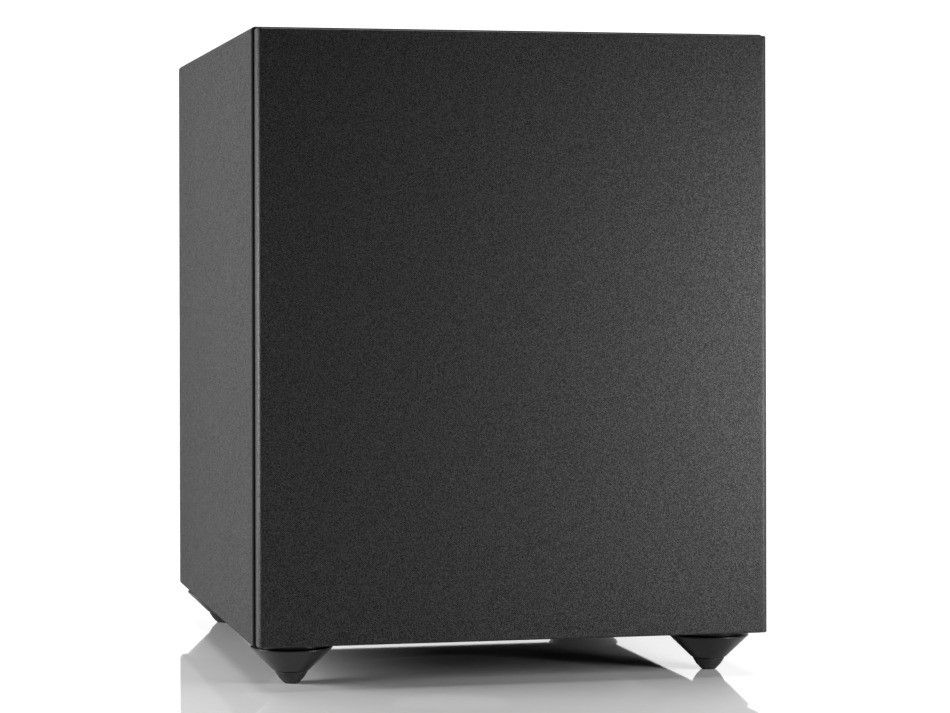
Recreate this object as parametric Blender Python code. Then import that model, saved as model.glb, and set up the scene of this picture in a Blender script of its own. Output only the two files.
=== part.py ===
"""Compact powered subwoofer: a ten-inch woofer behind a cloth grille, a ten-inch passive
radiator firing at the floor and a plate amplifier on the back.

Lengths are in millimetres until a mesh is made. The origin is on the floor under the middle
of the object, -Y is the front and +Z is up.
"""
import math

import bmesh
import bpy
from mathutils import Matrix, Vector

MM = 0.001
GAP = 0.3

# Cabinet: a mitred tube of four panels, closed by an inset baffle and back
CAB_W = 300.0
CAB_H = 348.0
FRONT_Y = -171.9
BACK_Y = 168.1
WALL = 18.0
LONG_EDGE_R = 2.4
FRONT_EDGE_R = 1.2
BACK_EDGE_R = 2.0
FOOT_H = 23.5
FLOOR_Z = FOOT_H
TOP_Z = FLOOR_Z + CAB_H
MID_Z = FLOOR_Z + CAB_H / 2
IN_X = CAB_W / 2 - WALL - GAP
IN_LOW = FLOOR_Z + WALL + GAP
IN_HIGH = TOP_Z - WALL - GAP
BAFFLE_FACE_Y = FRONT_Y + 4.0
BAFFLE_BACK_Y = BAFFLE_FACE_Y + WALL

# Drivers: local Z points out of the cabinet and is zero on the flange's outer face
DRIVER_SEGS = 36
SPIDER_SEGS = 24
WOOFER_AT = (0.0, BAFFLE_FACE_Y, MID_Z)
WOOFER_FLANGE_R = 127.0
RADIATOR_Y = FRONT_Y + 170.0
RECESS_MOUTH_R = 139.5
RECESS_FLOOR_R = 132.8
RECESS_DEPTH = 11.0
RADIATOR_FLANGE_T = 3.0
RADIATOR_AT = (0.0, RADIATOR_Y, FLOOR_Z + RECESS_DEPTH - GAP - RADIATOR_FLANGE_T)
RADIATOR_FLANGE_R = 131.0

# Grille
GRILLE_W = 296.8
GRILLE_H = 344.8
GRILLE_BACK_Y = FRONT_Y - 0.7
GRILLE_FRONT_Y = -183.1
CLOTH_T = 0.7
GRILLE_SIDE_R = 3.0
GRILLE_END_R = 0.9
GRILLE_CORNER_R = 0.9
RIM_W = 20.0
GUSSET = 40.0
PEG_X = 117.0
PEG_Z = 141.0
PEG_R = 3.5

# Feet
FOOT_X = 124.0
FOOT_INSET_Y = 26.0
FOOT_SEGS = 16

# Amplifier: its plate lies on the back panel
PLATE_HALF_X = 100.0
PLATE_HALF_Z = 120.0
PLATE_IN_Y = BACK_Y + GAP
PLATE_OUT_Y = PLATE_IN_Y + 2.0
HATCH_HALF_X = 92.0
HATCH_HALF_Z = 112.0
BOARD_Y = PLATE_OUT_Y - 18.0
CONTROL_Z = MID_Z + 97.5
LOWER_Z = MID_Z + 64.5
LEVEL_X = 50.0
CROSSOVER_X = 0.0
SWITCH_X = -50.0
LED_X = 78.0
JACK_XS = (50.0, 20.0)
INLET_X = 50.0
ROCKER_X = 5.0
MAINS_Z = MID_Z - 92.5

OUT_FRONT = Matrix.Rotation(math.radians(90), 4, "X")
OUT_BACK = Matrix.Rotation(math.radians(-90), 4, "X")
OUT_DOWN = Matrix.Rotation(math.radians(180), 4, "X")
IDENTITY = Matrix.Identity(4)

for leftover in list(bpy.data.objects):
    bpy.data.objects.remove(leftover)


def at(x, y, z, turn=IDENTITY):
    """The matrix that carries local millimetres to this point, turned."""
    return Matrix.Translation((x, y, z)) @ turn


def add_verts(bm, points, place):
    return [bm.verts.new((place @ Vector(point)) * MM) for point in points]


def add_skin(bm, rings, ring_closed):
    """Joins neighbouring rings of vertices; a ring of one vertex is a pole."""
    following_rings = rings[1:] + (rings[:1] if ring_closed else [])
    for ring, following in zip(rings, following_rings):
        count = max(len(ring), len(following))
        for k in range(count):
            after = (k + 1) % count
            corners = (
                ring[k % len(ring)],
                ring[after % len(ring)],
                following[after % len(following)],
                following[k % len(following)],
            )
            face = list(dict.fromkeys(corners))
            if len(face) > 2:
                bm.faces.new(face)


def add_lathe(bm, profile, segments, place=IDENTITY):
    """Turns a closed outline of (radius, height) about local Z."""
    rings = []
    for radius, height in profile:
        if radius == 0:
            rings.append(add_verts(bm, [(0, 0, height)], place))
            continue
        angles = [2 * math.pi * k / segments for k in range(segments)]
        circle = [(radius * math.cos(a), radius * math.sin(a), height) for a in angles]
        rings.append(add_verts(bm, circle, place))
    add_skin(bm, rings, ring_closed=True)


def add_loft(bm, loops, place=IDENTITY, ring_closed=False):
    """Skins loops of points that have the same length, with a cap at each end."""
    rings = [add_verts(bm, loop, place) for loop in loops]
    add_skin(bm, rings, ring_closed)
    if not ring_closed:
        bm.faces.new(rings[0])
        bm.faces.new(rings[-1])


def rectangle(x0, x1, y, z0, z1):
    """Four corners in the plane of this y."""
    return [(x0, y, z0), (x1, y, z0), (x1, y, z1), (x0, y, z1)]


def add_box(bm, x_range, y_range, z_range, place=IDENTITY):
    loops = [rectangle(*x_range, y, *z_range) for y in y_range]
    add_loft(bm, loops, place)


def add_tube(bm, stations, radius, sides, steps):
    """A round wire along a smooth curve through these stations."""
    knots = [Vector(s) for s in stations]
    knots = [2 * knots[0] - knots[1]] + knots + [2 * knots[-1] - knots[-2]]
    path = []
    for a, b, c, d in zip(knots, knots[1:], knots[2:], knots[3:]):
        for step in range(steps):
            t = step / steps
            bend = 2 * a - 5 * b + 4 * c - d
            twist = -a + 3 * b - 3 * c + d
            path.append(b + 0.5 * ((c - a) * t + bend * t * t + twist * t * t * t))
    path.append(knots[-2])
    side = Vector((0, 0, 1))
    loops = []
    for k, point in enumerate(path):
        ahead = path[min(k + 1, len(path) - 1)] - path[max(k - 1, 0)]
        ahead.normalize()
        side = (side - ahead * side.dot(ahead)).normalized()
        across = ahead.cross(side)
        turns = [2 * math.pi * n / sides for n in range(sides)]
        loops.append([
            point + radius * (side * math.cos(turn) + across * math.sin(turn))
            for turn in turns
        ])
    add_loft(bm, loops)


def link(name, data, parent):
    obj = bpy.data.objects.new(name, data)
    bpy.context.scene.collection.objects.link(obj)
    obj.parent = parent
    return obj


def assembly(name, place=IDENTITY, parent=None):
    """An empty that carries one group of pieces."""
    empty = link(name, None, parent)
    location, turn, _ = place.decompose()
    empty.location = location * MM
    empty.rotation_mode = "QUATERNION"
    empty.rotation_quaternion = turn
    return empty


def mesh_of(name, bm):
    bmesh.ops.recalc_face_normals(bm, faces=bm.faces)
    mesh = bpy.data.meshes.new(name)
    bm.to_mesh(mesh)
    bm.free()
    return mesh


def piece(name, bm, parent, colour, roughness, metallic=0.0):
    """One node of the object, with a material of its own."""
    mesh = mesh_of(name, bm)
    mesh.shade_smooth()
    mesh.set_sharp_from_angle(angle=math.radians(32))
    surface = bpy.data.materials.new(name + "_surface")
    surface.use_nodes = True
    shader = surface.node_tree.nodes["Principled BSDF"]
    shader.inputs["Base Color"].default_value = (*colour, 1.0)
    shader.inputs["Roughness"].default_value = roughness
    shader.inputs["Metallic"].default_value = metallic
    surface.diffuse_color = (*colour, 1.0)
    mesh.materials.append(surface)
    return link(name, mesh, parent)


def helper(name, bm, parent):
    """A shape that only takes part in Booleans."""
    obj = link(name, mesh_of(name, bm), parent)
    obj.hide_render = True
    obj.display_type = "WIRE"
    return obj


def combine(obj, other, operation):
    modifier = obj.modifiers.new(other.name, "BOOLEAN")
    modifier.operation = operation
    modifier.solver = "EXACT"
    modifier.object = other


def add_holes(bm, centres, radius, low, high, segments, turn=IDENTITY):
    """Round cutters along the turned Z axis, one at each centre."""
    profile = [(0, low), (radius, low), (radius, high), (0, high)]
    for centre in centres:
        add_lathe(bm, profile, segments, at(*centre, turn))


def wedge_cutter(name, parent, inner, outer, low, high):
    """Six openings between spokes, each wider at its outer end."""
    bm = bmesh.new()
    for k in range(6):
        near, near_half = inner
        far, far_half = outer
        loops = []
        for height in (low, high):
            loops.append([
                (near, -near_half, height),
                (far, -far_half, height),
                (far, far_half, height),
                (near, near_half, height),
            ])
        add_loft(bm, loops, Matrix.Rotation(math.radians(60 * k), 4, "Z"))
    return helper(name, bm, parent)


# ---- Cabinet ----
cabinet = assembly("cabinet")


def tube_section(length, y, inset, radius):
    """One cross-section of a mitred panel whose outer face looks along local +Z."""
    half = length / 2
    mitre = GAP * math.sqrt(0.5)
    start = half - inset - radius
    right = []
    right.append((start, -inset))
    angle = math.radians(22.5)
    right.append((start + radius * math.sin(angle), -inset - radius * (1 - math.cos(angle))))
    angle = math.radians(45)
    right.append((
        start + radius * math.sin(angle) - mitre,
        -inset - radius * (1 - math.cos(angle)),
    ))
    right.append((half - WALL - mitre, -WALL))
    left = [(-u, v) for u, v in reversed(right)]
    return [(u, y, v) for u, v in right + left]


def tube_panel(name, length, place):
    stations = (
        (FRONT_Y, FRONT_EDGE_R),
        (FRONT_Y + 0.3 * FRONT_EDGE_R, 0.3 * FRONT_EDGE_R),
        (FRONT_Y + FRONT_EDGE_R, 0.0),
        (BACK_Y - BACK_EDGE_R, 0.0),
        (BACK_Y - 0.3 * BACK_EDGE_R, 0.3 * BACK_EDGE_R),
        (BACK_Y, BACK_EDGE_R),
    )
    bm = bmesh.new()
    loops = [tube_section(length, y, inset, LONG_EDGE_R) for y, inset in stations]
    add_loft(bm, loops, place)
    return piece(name, bm, cabinet, (0.035, 0.035, 0.037), 0.42)


left_turn = Matrix.Rotation(math.radians(-90), 4, "Y")
right_turn = Matrix.Rotation(math.radians(90), 4, "Y")
under_turn = Matrix.Rotation(math.radians(180), 4, "Y")
tube_panel("top_panel", CAB_W, at(0, 0, TOP_Z))
bottom_panel = tube_panel("bottom_panel", CAB_W, at(0, 0, FLOOR_Z, under_turn))
tube_panel("left_panel", CAB_H, at(-CAB_W / 2, 0, MID_Z, left_turn))
tube_panel("right_panel", CAB_H, at(CAB_W / 2, 0, MID_Z, right_turn))

bm = bmesh.new()
add_box(bm, (-IN_X, IN_X), (BAFFLE_FACE_Y, BAFFLE_BACK_Y), (IN_LOW, IN_HIGH))
front_baffle = piece("front_baffle", bm, cabinet, (0.02, 0.02, 0.02), 0.6)

hatch_low = MID_Z - HATCH_HALF_Z
hatch_high = MID_Z + HATCH_HALF_Z
bm = bmesh.new()
add_loft(bm, [
    rectangle(-IN_X, IN_X, BACK_Y - WALL, IN_LOW, IN_HIGH),
    rectangle(-IN_X, IN_X, BACK_Y, IN_LOW, IN_HIGH),
    rectangle(-HATCH_HALF_X, HATCH_HALF_X, BACK_Y, hatch_low, hatch_high),
    rectangle(-HATCH_HALF_X, HATCH_HALF_X, BACK_Y - WALL, hatch_low, hatch_high),
], ring_closed=True)
rear_panel = piece("rear_panel", bm, cabinet, (0.035, 0.035, 0.037), 0.42)

# Bar across the box behind the woofer's magnet
bm = bmesh.new()
add_box(bm, (-IN_X, IN_X), (-62, -44), (MID_Z - 20, MID_Z + 20))
piece("cross_brace", bm, cabinet, (0.35, 0.24, 0.14), 0.8)

# Fibre blanket folded over the upper side walls and the top
PAD_T = 15.0
PAD_LOW = MID_Z + 37.5
pad_in_x = IN_X - PAD_T
pad_in_z = IN_HIGH - PAD_T
fold = [
    (-IN_X, PAD_LOW),
    (-pad_in_x, PAD_LOW),
    (-pad_in_x, pad_in_z),
    (pad_in_x, pad_in_z),
    (pad_in_x, PAD_LOW),
    (IN_X, PAD_LOW),
    (IN_X, IN_HIGH),
    (-IN_X, IN_HIGH),
]
bm = bmesh.new()
add_loft(bm, [[(x, y, z) for x, z in fold] for y in (-120, 130)])
piece("damping_blanket", bm, cabinet, (0.75, 0.74, 0.7), 0.95)

# Blind holes that take the grille's pegs
peg_centres = [(x, z) for x in (-PEG_X, PEG_X) for z in (-PEG_Z, PEG_Z)]
bm = bmesh.new()
peg_holes = [(x, BAFFLE_FACE_Y, MID_Z + z) for x, z in peg_centres]
add_holes(bm, peg_holes, PEG_R + 0.4, -10, 3, 12, OUT_FRONT)
combine(front_baffle, helper("peg_holes", bm, cabinet), "DIFFERENCE")

# ---- Feet ----
foot_holes = bmesh.new()
foot_points = {
    "front_left": (-FOOT_X, FRONT_Y + FOOT_INSET_Y),
    "front_right": (FOOT_X, FRONT_Y + FOOT_INSET_Y),
    "back_left": (-FOOT_X, BACK_Y - FOOT_INSET_Y),
    "back_right": (FOOT_X, BACK_Y - FOOT_INSET_Y),
}
CONE_PROFILE = [
    (0, 36.0),
    (2.5, 36.0),
    (2.5, FOOT_H - GAP),
    (20.0, FOOT_H - GAP),
    (20.0, 21.2),
    (23.5, 21.2),
    (23.5, 20.3),
    (10.3, 7.6),
    (5.4, 7.6),
    (5.4, 9.4),
    (0, 9.4),
]
TIP_PROFILE = [
    (0, 0),
    (3.9, 0),
    (5.2, 1.2),
    (7.1, 3.2),
    (8.9, 6.0),
    (9.5, 7.3),
    (5.1, 7.3),
    (5.1, 9.0),
    (0, 9.0),
]
for corner, (x, y) in foot_points.items():
    foot = assembly("foot_" + corner, at(x, y, 0), cabinet)
    bm = bmesh.new()
    add_lathe(bm, CONE_PROFILE, FOOT_SEGS)
    piece("foot_cone_" + corner, bm, foot, (0.03, 0.03, 0.032), 0.35)
    bm = bmesh.new()
    add_lathe(bm, TIP_PROFILE, FOOT_SEGS)
    piece("foot_tip_" + corner, bm, foot, (0.015, 0.015, 0.015), 0.75)
    add_holes(foot_holes, [(x, y, 0)], 2.9, 20, 37, FOOT_SEGS)
combine(bottom_panel, helper("foot_stud_holes", foot_holes, cabinet), "DIFFERENCE")

# ---- Woofer ----
woofer = assembly("woofer", at(*WOOFER_AT, OUT_FRONT))
woofer_motion = assembly("woofer_motion", parent=woofer)

bm = bmesh.new()
add_lathe(bm, [
    (34, -60),
    (70, -60),
    (72.5, -46.5),
    (112.5, -13.5),
    (114, -3.5),
    (WOOFER_FLANGE_R, -3.5),
    (WOOFER_FLANGE_R, 0),
    (120, 0),
    (120, -1.6),
    (112.5, -1.6),
    (110.9, -11.6),
    (70, -45.3),
    (62, -45.3),
    (62, -57),
    (34, -57),
], DRIVER_SEGS)
woofer_basket = piece("woofer_basket", bm, woofer, (0.05, 0.05, 0.052), 0.5, 0.3)
combine(
    woofer_basket,
    wedge_cutter("basket_windows", woofer, (60, 20), (126, 44), -42, -16),
    "DIFFERENCE",
)

bm = bmesh.new()
add_lathe(bm, [
    (0, -20),
    (116, -20),
    (116, -3.8),
    (WOOFER_FLANGE_R + 0.5, -3.8),
    (WOOFER_FLANGE_R + 0.5, 2),
    (0, 2),
], DRIVER_SEGS)
combine(front_baffle, helper("woofer_bore", bm, woofer), "DIFFERENCE")

bm = bmesh.new()
top_plate = [(27.2, -68.3), (58, -68.3), (58, -60.3), (27.2, -60.3)]
add_lathe(bm, top_plate, DRIVER_SEGS)
piece("woofer_top_plate", bm, woofer, (0.3, 0.3, 0.31), 0.4, 1.0)

bm = bmesh.new()
add_lathe(bm, [(32, -86.6), (60, -86.6), (60, -68.6), (32, -68.6)], DRIVER_SEGS)
piece("woofer_magnet", bm, woofer, (0.06, 0.06, 0.065), 0.7)

bm = bmesh.new()
add_lathe(bm, [
    (8, -94.9),
    (58, -94.9),
    (58, -86.9),
    (24.6, -86.9),
    (24.6, -60.3),
    (8, -60.3),
], DRIVER_SEGS)
piece("woofer_back_plate", bm, woofer, (0.3, 0.3, 0.31), 0.4, 1.0)


def half_roll(centre, radius, base, outer_end, inner_end):
    """Outline of a one-millimetre rubber edge with a half-round roll."""
    over = []
    under = []
    for degrees in (0, 45, 90, 135, 180):
        turn = math.radians(degrees)
        over.append((centre + radius * math.cos(turn), base + radius * math.sin(turn)))
    for degrees in (135, 90, 45):
        turn = math.radians(degrees)
        thin = radius - 1
        under.append((centre + thin * math.cos(turn), base + thin * math.sin(turn)))
    outline = [(outer_end, base)] + over + [(inner_end, base), (inner_end, base - 1)]
    outline += [(centre - radius + 1, base - 1)] + under
    return outline + [(centre + radius - 1, base - 1), (outer_end, base - 1)]


bm = bmesh.new()
add_lathe(bm, half_roll(109, 8, -0.3, 119.7, 96), DRIVER_SEGS)
piece("woofer_surround", bm, woofer_motion, (0.015, 0.015, 0.015), 0.55)

bm = bmesh.new()
add_lathe(bm, [
    (101, -1.6),
    (95, -1.6),
    (70, -13),
    (45, -26),
    (25.7, -37),
    (25.7, -38.8),
    (44.4, -27.3),
    (69.4, -14.4),
    (94.5, -2.8),
    (101, -2.8),
], DRIVER_SEGS)
piece("woofer_cone", bm, woofer_motion, (0.03, 0.03, 0.032), 0.6)

bm = bmesh.new()
add_lathe(bm, [
    (0, -17),
    (13, -18.2),
    (25, -22.3),
    (35.5, -29.2),
    (35.5, -30.9),
    (24.5, -23.5),
    (12.8, -19.3),
    (0, -18),
], DRIVER_SEGS)
piece("woofer_dust_cap", bm, woofer_motion, (0.025, 0.025, 0.027), 0.45)

bm = bmesh.new()
add_lathe(bm, [(25.0, -74), (25.4, -74), (25.4, -36), (25.0, -36)], DRIVER_SEGS)
piece("woofer_former", bm, woofer_motion, (0.6, 0.52, 0.3), 0.5)

bm = bmesh.new()
add_lathe(bm, [(25.7, -72), (26.5, -72), (26.5, -56), (25.7, -56)], DRIVER_SEGS)
piece("woofer_winding", bm, woofer_motion, (0.6, 0.25, 0.1), 0.35, 1.0)


def spider_outline(hub, rim, level, thickness, height):
    """Outline of a corrugated cloth disc from the hub out to its landing."""
    width = rim - hub
    waves = ((0.0, 0), (0.14, 0), (0.3, 1), (0.45, -1), (0.6, 1), (0.75, -1), (0.87, 0), (1.0, 0))
    over = [(hub + share * width, level + sign * height) for share, sign in waves]
    under = [(radius, z - thickness) for radius, z in reversed(over)]
    return over + under


bm = bmesh.new()
add_lathe(bm, spider_outline(26.0, 68, -44.2, 0.8, 1.8), SPIDER_SEGS)
piece("woofer_spider", bm, woofer_motion, (0.65, 0.5, 0.2), 0.85)

bm = bmesh.new()
add_box(bm, (-76, -73), (-14, 14), (-57, -48))
woofer_terminals = piece("woofer_terminals", bm, woofer, (0.5, 0.42, 0.2), 0.5)
bm = bmesh.new()
for y in (-9, 9):
    add_box(bm, (-88, -75), (y - 3.2, y + 3.2), (-53.4, -52.6))
combine(woofer_terminals, helper("terminal_tabs", bm, woofer), "UNION")

for name, side in (("woofer_lead_lower", -1), ("woofer_lead_upper", 1)):
    bm = bmesh.new()
    stations = [
        (-77.2, 9 * side, -46.9),
        (-79.4, 9 * side, -42),
        (-74, 8 * side, -34),
        (-60, 7 * side, -30.5),
        (-50.5, 6 * side, -25.6),
    ]
    add_tube(bm, stations, 0.6, 6, 3)
    piece(name, bm, woofer_motion, (0.6, 0.3, 0.15), 0.45, 0.8)

# ---- Passive radiator ----
radiator = assembly("radiator", at(*RADIATOR_AT, OUT_DOWN))
radiator_motion = assembly("radiator_motion", parent=radiator)
recess_floor = -RADIATOR_FLANGE_T - GAP
recess_mouth = recess_floor + RECESS_DEPTH

bm = bmesh.new()
add_lathe(bm, [
    (60, -36.3),
    (73, -36.3),
    (114.5, -13.2),
    (115.8, -RADIATOR_FLANGE_T),
    (RADIATOR_FLANGE_R, -RADIATOR_FLANGE_T),
    (RADIATOR_FLANGE_R, 0),
    (124.5, 0),
    (124.5, -1.4),
    (113.2, -1.4),
    (112.2, -11.2),
    (71.5, -33.3),
    (60, -33.3),
], DRIVER_SEGS)
radiator_frame = piece("radiator_frame", bm, radiator, (0.05, 0.05, 0.052), 0.5, 0.3)
combine(
    radiator_frame,
    wedge_cutter("frame_windows", radiator, (64, 20), (124, 42), -31, -15),
    "DIFFERENCE",
)

# The recess in the underside narrows as it goes in
taper = (RECESS_MOUTH_R - RECESS_FLOOR_R) / RECESS_DEPTH
bm = bmesh.new()
add_lathe(bm, [
    (0, -14),
    (117, -14),
    (117, recess_floor),
    (RECESS_FLOOR_R, recess_floor),
    (RECESS_MOUTH_R + taper, recess_mouth + 1),
    (0, recess_mouth + 1),
], DRIVER_SEGS)
combine(bottom_panel, helper("radiator_bore", bm, radiator), "DIFFERENCE")

bm = bmesh.new()
add_lathe(bm, half_roll(111, 8, -0.1, 124.2, 98), DRIVER_SEGS)
piece("radiator_surround", bm, radiator_motion, (0.015, 0.015, 0.015), 0.55)

bm = bmesh.new()
add_lathe(bm, [
    (0, -11),
    (40, -11),
    (97, -1.4),
    (103, -1.4),
    (103, -2.9),
    (97, -2.9),
    (40, -12.8),
    (14, -13.2),
    (14, -36),
    (0, -36),
], DRIVER_SEGS)
piece("radiator_cone", bm, radiator_motion, (0.03, 0.03, 0.032), 0.6)

bm = bmesh.new()
weight = [(0, -10.7), (38, -10.7), (38, -7.2), (36.5, -5.7), (0, -5.7)]
add_lathe(bm, weight, DRIVER_SEGS)
piece("radiator_weight", bm, radiator_motion, (0.06, 0.06, 0.062), 0.35, 1.0)

bm = bmesh.new()
add_lathe(bm, spider_outline(14.5, 67, -31.8, 0.8, 1.8), SPIDER_SEGS)
piece("radiator_spider", bm, radiator_motion, (0.65, 0.5, 0.2), 0.85)

# ---- Grille ----
grille = assembly("grille", at(0, GRILLE_BACK_Y, MID_Z))
depth = GRILLE_BACK_Y - GRILLE_FRONT_Y


def round_rectangle(half_x, half_z, radius, y):
    """Twelve points, three to a corner, in the plane of this y."""
    points = []
    for corner, (sx, sz) in enumerate(((1, 1), (-1, 1), (-1, -1), (1, -1))):
        for step in (0, 45, 90):
            turn = math.radians(90 * corner + step)
            points.append((
                sx * (half_x - radius) + radius * math.cos(turn),
                y,
                sz * (half_z - radius) + radius * math.sin(turn),
            ))
    return points


def cut_rectangle(half_x, half_z, chamfer, y):
    """Twelve points, three along each slanted corner, in the plane of this y."""
    right = [
        (half_x, half_z - chamfer),
        (half_x - chamfer / 2, half_z - chamfer / 2),
        (half_x - chamfer, half_z),
    ]
    upper = right + [(-x, z) for x, z in reversed(right)]
    return [(x, y, z) for x, z in upper + [(-x, -z) for x, z in upper]]


def rolled_in(out, front, radius):
    """How far an edge rounded to this radius has come in, at this distance from the back."""
    past = min(max(out - (front - radius), 0.0), radius)
    return radius - math.sqrt(radius * radius - past * past)


def tray_loops(half_x, half_z, front):
    """Back edge to front: both sides roll over, and the top and bottom are nearly square."""
    start = front - GRILLE_SIDE_R
    loops = []
    for out in (0, start, start + 0.7 * GRILLE_SIDE_R, front - 0.3 * GRILLE_END_R, front):
        across = half_x - rolled_in(out, front, GRILLE_SIDE_R)
        along = half_z - rolled_in(out, front, GRILLE_END_R)
        loops.append(round_rectangle(across, along, GRILLE_CORNER_R, -out))
    return loops


outer = tray_loops(GRILLE_W / 2, GRILLE_H / 2, depth)
inner = tray_loops(GRILLE_W / 2 - CLOTH_T, GRILLE_H / 2 - CLOTH_T, depth - CLOTH_T)
bm = bmesh.new()
add_loft(bm, list(reversed(inner)) + outer)
piece("grille_cloth", bm, grille, (0.02, 0.02, 0.021), 0.95)

frame_x = GRILLE_W / 2 - CLOTH_T - GAP
frame_z = GRILLE_H / 2 - CLOTH_T - GAP
frame_out = depth - CLOTH_T - GAP
opening_x = frame_x - RIM_W
opening_z = frame_z - RIM_W
bm = bmesh.new()
add_loft(
    bm,
    tray_loops(frame_x, frame_z, frame_out)
    + [
        cut_rectangle(opening_x, opening_z, GUSSET, -frame_out),
        cut_rectangle(opening_x, opening_z, GUSSET, 0),
    ],
    ring_closed=True,
)
grille_frame = piece("grille_frame", bm, grille, (0.03, 0.03, 0.03), 0.6)
bm = bmesh.new()
peg = [(0, -12.6), (2.6, -12.6), (PEG_R, -11.4), (PEG_R, 3), (0, 3)]
for x, z in peg_centres:
    add_lathe(bm, peg, 12, at(x, 0, z, OUT_FRONT))
combine(grille_frame, helper("grille_pegs", bm, grille), "UNION")

# ---- Amplifier ----
amplifier = assembly("amplifier")

bm = bmesh.new()
plate_z = (MID_Z - PLATE_HALF_Z, MID_Z + PLATE_HALF_Z)
add_box(bm, (-PLATE_HALF_X, PLATE_HALF_X), (PLATE_IN_Y, PLATE_OUT_Y), plate_z)
amp_plate = piece("amp_plate", bm, amplifier, (0.04, 0.04, 0.042), 0.5, 0.4)

SCREW_X = (PLATE_HALF_X + HATCH_HALF_X) / 2
SCREW_Z = (PLATE_HALF_Z + HATCH_HALF_Z) / 2
plate_corners = {
    "top_left": (-SCREW_X, SCREW_Z),
    "top_right": (SCREW_X, SCREW_Z),
    "bottom_left": (-SCREW_X, -SCREW_Z),
    "bottom_right": (SCREW_X, -SCREW_Z),
}
screw_profile = [(0, 1.9), (2.7, 1.2), (2.7, GAP), (1.5, GAP), (1.5, -14), (0, -14)]
for corner, (x, z) in plate_corners.items():
    bm = bmesh.new()
    add_lathe(bm, screw_profile, 10, at(x, PLATE_OUT_Y, MID_Z + z, OUT_BACK))
    piece("amp_screw_" + corner, bm, amplifier, (0.04, 0.04, 0.04), 0.4, 0.8)

bm = bmesh.new()
screw_points = [(x, PLATE_OUT_Y, MID_Z + z) for x, z in plate_corners.values()]
add_holes(bm, screw_points, 1.9, -15, 2, 10, OUT_BACK)
screw_holes = helper("amp_screw_holes", bm, amplifier)
combine(rear_panel, screw_holes, "DIFFERENCE")
combine(amp_plate, screw_holes, "DIFFERENCE")

bm = bmesh.new()
knob_points = [(x, PLATE_OUT_Y, CONTROL_Z) for x in (LEVEL_X, CROSSOVER_X)]
jack_points = [(x, PLATE_OUT_Y, LOWER_Z) for x in JACK_XS]
add_holes(bm, knob_points, 4.8, -4, 2, 12, OUT_BACK)
add_holes(bm, jack_points, 5.0, -4, 2, 14, OUT_BACK)
add_holes(bm, [(LED_X, PLATE_OUT_Y, CONTROL_Z)], 2.7, -4, 2, 12, OUT_BACK)
through = (PLATE_IN_Y - 2, PLATE_OUT_Y + 2)
for z in (CONTROL_Z, LOWER_Z):
    add_box(bm, (SWITCH_X - 5.2, SWITCH_X + 5.2), through, (z - 2.2, z + 2.2))
add_box(bm, (INLET_X - 13.8, INLET_X + 13.8), through, (MAINS_Z - 10.3, MAINS_Z + 10.3))
add_box(bm, (ROCKER_X - 6.8, ROCKER_X + 6.8), through, (MAINS_Z - 9.9, MAINS_Z + 9.9))
combine(amp_plate, helper("plate_cutouts", bm, amplifier), "DIFFERENCE")

# Controls
for name, x in (("level_knob", LEVEL_X), ("crossover_knob", CROSSOVER_X)):
    axis = assembly(name + "_axis", at(x, PLATE_OUT_Y, CONTROL_Z, OUT_BACK), amplifier)
    bm = bmesh.new()
    add_lathe(bm, [
        (0, 12.7),
        (7.2, 12.7),
        (8.0, 11.9),
        (8.8, 0.8),
        (3.0, 0.8),
        (3.0, -10),
        (0, -10),
    ], 24)
    knob = piece(name, bm, axis, (0.03, 0.03, 0.03), 0.45)
    bm = bmesh.new()
    add_box(bm, (-0.7, 0.7), (-10, -3), (4, 14))
    combine(knob, helper(name + "_pointer", bm, axis), "DIFFERENCE")

for name, point in zip(("level_pot", "crossover_pot"), knob_points):
    bm = bmesh.new()
    add_lathe(bm, [
        (0, -17.6),
        (8, -17.6),
        (8, -6),
        (4.5, -6),
        (4.5, 0.4),
        (3.3, 0.4),
        (3.3, -11),
        (0, -11),
    ], 12, at(*point, OUT_BACK))
    piece(name, bm, amplifier, (0.5, 0.5, 0.5), 0.4, 0.8)

face_y = PLATE_IN_Y - GAP
for name, z in (("phase_switch", CONTROL_Z), ("mode_switch", LOWER_Z)):
    x = SWITCH_X
    bm = bmesh.new()
    add_loft(bm, [
        rectangle(x - 9, x + 9, BOARD_Y + 0.4, z - 4.5, z + 4.5),
        rectangle(x - 9, x + 9, face_y, z - 4.5, z + 4.5),
        rectangle(x - 5.2, x + 5.2, face_y, z - 2.1, z + 2.1),
        rectangle(x - 5.2, x + 5.2, face_y - 6, z - 2.1, z + 2.1),
    ])
    piece(name, bm, amplifier, (0.45, 0.45, 0.45), 0.45, 0.6)

lever_y = (face_y - 6 + GAP, PLATE_OUT_Y + 3.2)
for name, z, rest_x in (("phase_lever", CONTROL_Z, -1.5), ("mode_lever", LOWER_Z, 0.0)):
    axis = assembly(name + "_axis", at(SWITCH_X + rest_x, PLATE_OUT_Y, z), amplifier)
    bm = bmesh.new()
    inside = lever_y[0] - PLATE_OUT_Y
    add_box(bm, (-1.7, 1.7), (inside, 3.2), (-1.7, 1.7))
    piece(name, bm, axis, (0.02, 0.02, 0.02), 0.5)

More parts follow.
